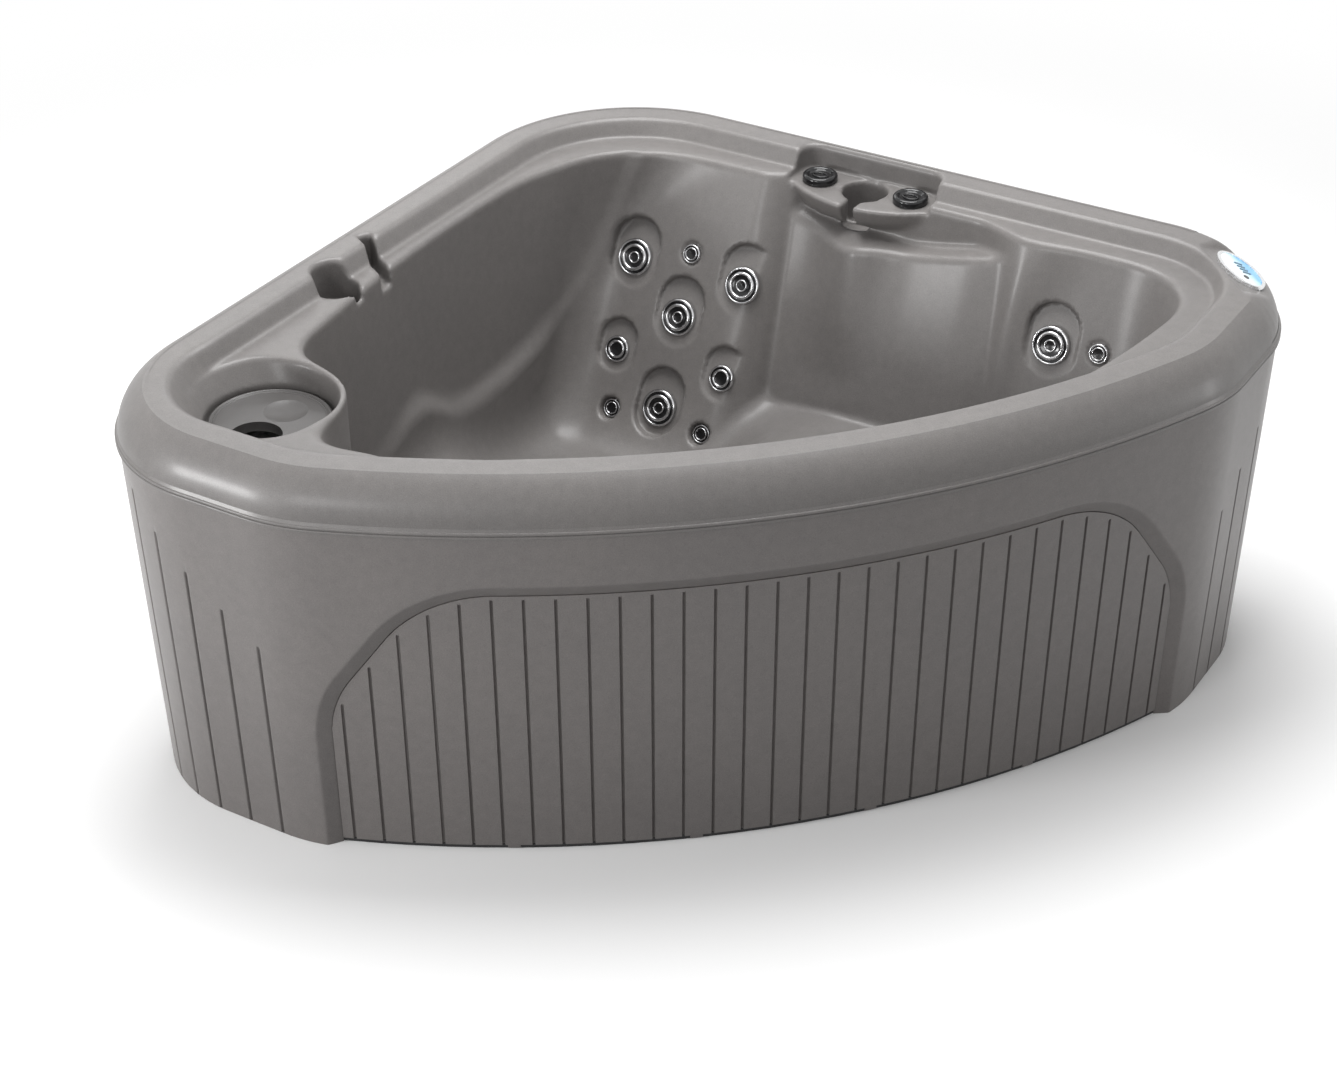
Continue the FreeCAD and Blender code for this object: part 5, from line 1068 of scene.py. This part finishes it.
def access_panel():
    edge = arch_line(BEVEL_WIDTH + PANEL_GAP, 1200)
    edge = edge[edge[:, 0] >= 0][::-1]
    half = edge[:, 0].max()
    order = np.argsort(edge[:, 0], kind="stable")

    def top_at(length):
        return np.interp(np.abs(length), edge[order][:, 0], edge[order][:, 1])

    spots = []
    for index in range(PANEL_GROOVES):
        place = (index - (PANEL_GROOVES - 1) / 2) * PANEL_PITCH
        near = top_at(np.linspace(place - PANEL_CLEAR, place + PANEL_CLEAR, 9)).min()
        if abs(place) < half - PANEL_MARGIN:
            spots.append((place, near - PANEL_CLEAR))
    border = half - np.array([1.0, 2.5, 5.0, 9.0, 14.0, 20.0, 28.0, 38.0, 50.0])
    columns = groove_columns(spots, PANEL_GROOVE, -half, half, PANEL_STEP)
    columns = np.unique(np.concatenate([columns, border, -border]))
    top = top_at(columns)
    top[[0, -1]] = top[[1, -2]]
    shares = np.concatenate([np.linspace(0, 0.88, 12), np.linspace(0.89, 1.0, 34)])
    z = PANEL_FOOT + (top - PANEL_FOOT) * shares[:, None]
    length = np.broadcast_to(columns, z.shape)
    sink = PANEL_FACE + groove_depth(length, z, spots, PANEL_GROOVE, run_out=5.0)
    # Edges turned back, and the first row once more to close the back
    length, z = (np.pad(values, 1, mode="edge") for values in (length, z))
    sink = np.pad(sink, 1, constant_values=PANEL_BACK)
    length, z, sink = (np.vstack([values, values[:1]]) for values in (length, z, sink))
    points = on_skirt(length, z, sink).reshape(-1, 3)
    panel = mesh_object("front_panel", points, lattice(*z.shape), SKIRT, "panel", "moulded_skirt", sharp=50)
    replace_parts(panel, "access_panel")
    for index in range(TABS):
        middle = (index - (TABS - 1) / 2) * TAB_PITCH
        places = np.linspace(middle - TAB_HALF, middle + TAB_HALF, 8)
        rows = [on_skirt(places, height, PANEL_FACE + sink) for sink, height in TAB_SECTION]
        centre = np.mean(rows, axis=0)
        closed = [np.vstack([centre[0], row, centre[-1]]) for row in rows]
        faces = lattice(len(closed), len(places) + 2, flip=True)
        mesh_object(
            f"panel_tab_{index}", np.vstack(closed), faces, SKIRT, "panel", "moulded_skirt", sharp=50)


access_panel()


# Jets, as (radius, height) profiles turned about their axes: plated rings with dark gaps between them

LARGE_RINGS = [
    [(37.5, 0.3), (37.5, 4.5), (36.9, 7), (35.4, 8.6), (33.6, 9), (32.3, 8.2), (31.8, 5)],
    [(27.8, 4.5), (27.4, 8.2), (26, 10.4), (23.6, 11.2), (21.3, 10.2), (20.4, 8.2), (20, 5.5)],
]
LARGE_GAPS = [[(32, 5.2), (31, 4.6), (27.9, 4.4)], [(20.2, 6), (19, 5.6), (12.2, 5)]]
LARGE_NOZZLE = [(12.2, 4.8), (12, 7.8), (11.2, 9), (10, 9.3), (9.1, 8.6), (8.7, 6.6), (8.6, 3.4)]
LARGE_CENTRE = [(8.8, 4.4), (6, 4), (0.05, 3.8)]
MEDIUM_RINGS = [
    [(27, 0.3), (27, 3.6), (26.4, 5.8), (25, 7.2), (23.6, 7.4), (22.6, 6.6), (22.2, 4)],
    [(19, 4.2), (18.7, 7), (17.6, 8.8), (15.8, 9.4), (14.2, 8.6), (13.4, 6.8), (13.1, 4.6)],
]
MEDIUM_GAPS = [[(22.4, 4.4), (21, 4.2), (19.1, 4.1)]]
MEDIUM_CENTRE = [(13.3, 5), (9, 4.2), (0.05, 4)]
SMALL_RINGS = [
    [(19.4, 0.3), (19.4, 4.4), (18.8, 6.4), (17.6, 7.4), (16.4, 7.4), (15.6, 6.4), (15.4, 4.4)],
    [(13.2, 4.6), (13, 7), (12.2, 8.4), (11.2, 8.6), (10.4, 7.6), (10.1, 5.8), (10, 4.4)],
]
SMALL_GAPS = [[(15.6, 4.8), (14.6, 4.6), (13.3, 4.5)], [(10.2, 5), (6, 4.6), (0.05, 4.4)]]


def at_jets(profiles, names):
    """Profiles set on the floor of each named jet's pocket."""
    sets = []
    for name in names:
        place, facing, _ = JETS[name]
        sets += [(profile, place - facing * POCKET_SINK, facing) for profile in profiles]
    return sets


def jets():
    large, medium, small = (
        [name for name in JETS if JETS[name][2] == radius] for radius in (LARGE_JET, MEDIUM_JET, SMALL_JET))
    for name in large + medium:
        rings, gaps = (LARGE_RINGS, LARGE_GAPS) if name in large else (MEDIUM_RINGS, MEDIUM_GAPS)
        trim = turned(f"{name}_trim", at_jets(rings, [name]), CHROME, name, "bright_trim")
        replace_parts(trim, name)
        turned(f"{name}_gaps", at_jets(gaps, [name]), GLOSS_BLACK, name, "gloss_black")
    turned("large_nozzle_rings", at_jets([LARGE_NOZZLE], large), CHROME, "tub", "bright_trim")
    dark = at_jets([LARGE_CENTRE], large)
    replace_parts(turned("large_nozzle_centres", dark, GLOSS_BLACK, "tub", "gloss_black"), "large_jet_nozzles")
    dark = at_jets([MEDIUM_CENTRE], medium)
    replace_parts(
        turned("medium_nozzle_centres", dark, GLOSS_BLACK, "tub", "gloss_black"), "medium_jet_nozzles")
    rings = turned("small_jet_rings", at_jets(SMALL_RINGS, small), CHROME, "tub", "bright_trim")
    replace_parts(rings, "small_jet_faces")
    turned("small_jet_gaps", at_jets(SMALL_GAPS, small), GLOSS_BLACK, "tub", "gloss_black")


jets()


# Air knobs, with a dished top and an oval ring

KNOB = [
    (34, 0.4), (34, 9.5), (33.2, 12.2), (31.2, 14.2), (28.6, 14.9), (26, 14.2), (23.8, 12.4), (22.6, 10.6),
    (20, 9.8), (0.05, 9.6)]
RING_HEIGHT = 10.4
RING_LONG = 15.0
RING_SHORT = 9.5
RING_TUBE = 1.8


def oval_ring(name, place, body):
    """A ring with a round section whose centre line is an ellipse along the wall."""
    turn, roll = np.meshgrid(
        np.linspace(0, 2 * math.pi, 72, endpoint=False), np.linspace(0, 2 * math.pi, 13), indexing="xy")
    along = np.array([DIAGONAL, -DIAGONAL, 0])
    away = np.array([-DIAGONAL, -DIAGONAL, 0])
    reach = RING_TUBE * np.cos(roll)
    points = (
        place + ((RING_LONG + reach) * np.cos(turn))[..., None] * along
        + ((RING_SHORT + reach) * np.sin(turn))[..., None] * away
        + (RING_TUBE * np.sin(roll))[..., None] * np.array([0, 0, 1.0]))
    faces = lattice(*turn.shape, close_columns=True)
    mesh_object(name, points.reshape(-1, 3), faces, GLOSS_BLACK, body, "gloss_black")


for name in ("air_knob_left", "air_knob_right"):
    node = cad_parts[name]
    corners = np.array([node.matrix_world @ Vector(corner) for corner in node.bound_box]) * 1000
    centre = (corners.min(axis=0) + corners.max(axis=0)) / 2
    centre[2] = ISLAND_TOP
    knob = turned(f"{name}_cap", [(KNOB, centre, (0, 0, 1))], GLOSS_BLACK, name, "gloss_black")
    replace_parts(knob, name)
    oval_ring(f"{name}_ring", centre + np.array([0, 0, RING_HEIGHT]), name)


# Raised double bead round the filter lid

LID_BEAD = [
    (105.2, 655), (105, 657.6), (103.6, 659.6), (101.6, 660.2), (99.6, 659.6), (98.2, 657.6), (97.6, 657.4),
    (96.6, 658.8), (95, 659.2), (93.4, 658.4), (92.6, 656.5)]
turned("lid_bead", [(LID_BEAD, at(*POT, 0), (0, 0, 1))], LID, "lid", "moulded_shell", segments=128)


# Finishes of the pieces that keep their CAD shape

FINISH = [
    (BLACK, "base_pan large_jet_bodies medium_jet_bodies small_jet_bodies air_valve_bodies pump_wet_end"),
    (BLACK, "pump_foot heater_unions cord_gland"),
    (PIPE, "seat_posts large_jet_nuts medium_jet_nuts small_jet_nuts filter_spigot pressure_pipe"),
    (PIPE, "return_pipe water_manifold suction_pipe air_manifold"),
    (GREY, "control_box suction_covers drain_fitting"),
    (KEY, "topside_key_1 topside_key_2 topside_key_3 topside_key_4"),
    (FOAM, "footwell_riser"), (PAPER, "filter_cartridge"), (MOTOR, "pump_motor"), (STEEL, "heater_tube"),
    (CLEAR, "topside_bezel"), (OVERLAY, "topside_face"), (GLOSS_BLACK, "topside_window"),
    (LID, "filter_lid"),
]
for material, names in FINISH:
    for name in names.split():
        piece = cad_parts[name]
        piece.data.materials.clear()
        piece.data.materials.append(material)


# Floor, backdrop and light


def seen_rays(tree):
    """1 for the rays that show the studio to the eye, straight, in metal or through glass."""
    path = tree.nodes.new("ShaderNodeLightPath")
    total = path.outputs["Is Camera Ray"]
    for kind in ("Is Glossy Ray", "Is Transmission Ray"):
        total = worked_out(tree, "MAXIMUM", total, path.outputs[kind])
    return total


def floor():
    mesh = bpy.data.meshes.new("floor")
    size = 30.0
    low = -0.0005
    fade_from = 1.7
    fade_to = 3.4
    mesh.from_pydata(
        [(-size, -size, low), (size, -size, low), (size, size, low), (-size, size, low)], [], [(0, 1, 2, 3)])
    plane = bpy.data.objects.new("floor", mesh)
    scene.collection.objects.link(plane)
    material = bpy.data.materials.new("studio_floor")
    material.use_nodes = True
    tree = material.node_tree
    shader = tree.nodes["Principled BSDF"]
    shader.inputs["Roughness"].default_value = 0.9
    shader.inputs["Specular IOR Level"].default_value = 0.0
    shown = seen_rays(tree)
    # Well away from the tub the floor runs into the plain white of the backdrop
    reach = tree.nodes.new("ShaderNodeVectorMath")
    reach.operation = "LENGTH"
    tree.links.new(coordinates(tree), reach.inputs[0])
    fade = tree.nodes.new("ShaderNodeMapRange")
    fade.interpolation_type = "SMOOTHSTEP"
    fade.inputs["From Min"].default_value = fade_from
    fade.inputs["From Max"].default_value = fade_to
    tree.links.new(reach.outputs["Value"], fade.inputs["Value"])
    share = worked_out(tree, "MULTIPLY", fade.outputs["Result"], shown)
    white = tree.nodes.new("ShaderNodeEmission")
    mix = tree.nodes.new("ShaderNodeMixShader")
    for source, target in zip((share, shader.outputs[0], white.outputs[0]), mix.inputs):
        tree.links.new(source, target)
    tree.links.new(mix.outputs[0], tree.nodes["Material Output"].inputs["Surface"])
    tones = [(0.0, (0.32, 0.32, 0.32)), (1.0, (0.95, 0.95, 0.95))]
    tree.links.new(ramp(tree, shown, tones), shader.inputs["Base Color"])
    mesh.materials.append(material)


floor()

world = bpy.data.worlds.new("studio")
scene.world = world
world.use_nodes = True
tree = world.node_tree
background = tree.nodes["Background"]
background.inputs["Color"].default_value = (1, 1, 1, 1)
tree.links.new(remap(tree, seen_rays(tree), 0.46, 1.0), background.inputs["Strength"])


def softbox(name, place, target, size, power):
    """A rectangular area light, in metres and watts, turned toward a point."""
    data = bpy.data.lights.new(name, "AREA")
    data.shape = "RECTANGLE"
    data.size, data.size_y = size
    data.energy = power
    lamp = bpy.data.objects.new(name, data)
    scene.collection.objects.link(lamp)
    lamp.location = place
    lamp.rotation_euler = (Vector(target) - Vector(place)).to_track_quat("-Z", "Y").to_euler()


softbox("key", (-3.3, -3.4, 2.3), (-0.3, -0.4, 0.4), (1.4, 1.0), 40)
softbox("glint", (-3.7, -0.98, 1.16), (-0.87, -0.5, 0.7), (0.8, 0.6), 58)
softbox("side", (3.6, -1.6, 0.7), (1.0, -0.5, 0.4), (0.4, 1.2), 14)
softbox("top", (0.2, 0.5, 3.6), (0, 0.0, 0.4), (2.4, 2.0), 128)
softbox("back", (-0.5, 4.3, 2.8), (0, 0, 0.7), (2.6, 1.2), 16)

scene.view_settings.view_transform = "Standard"
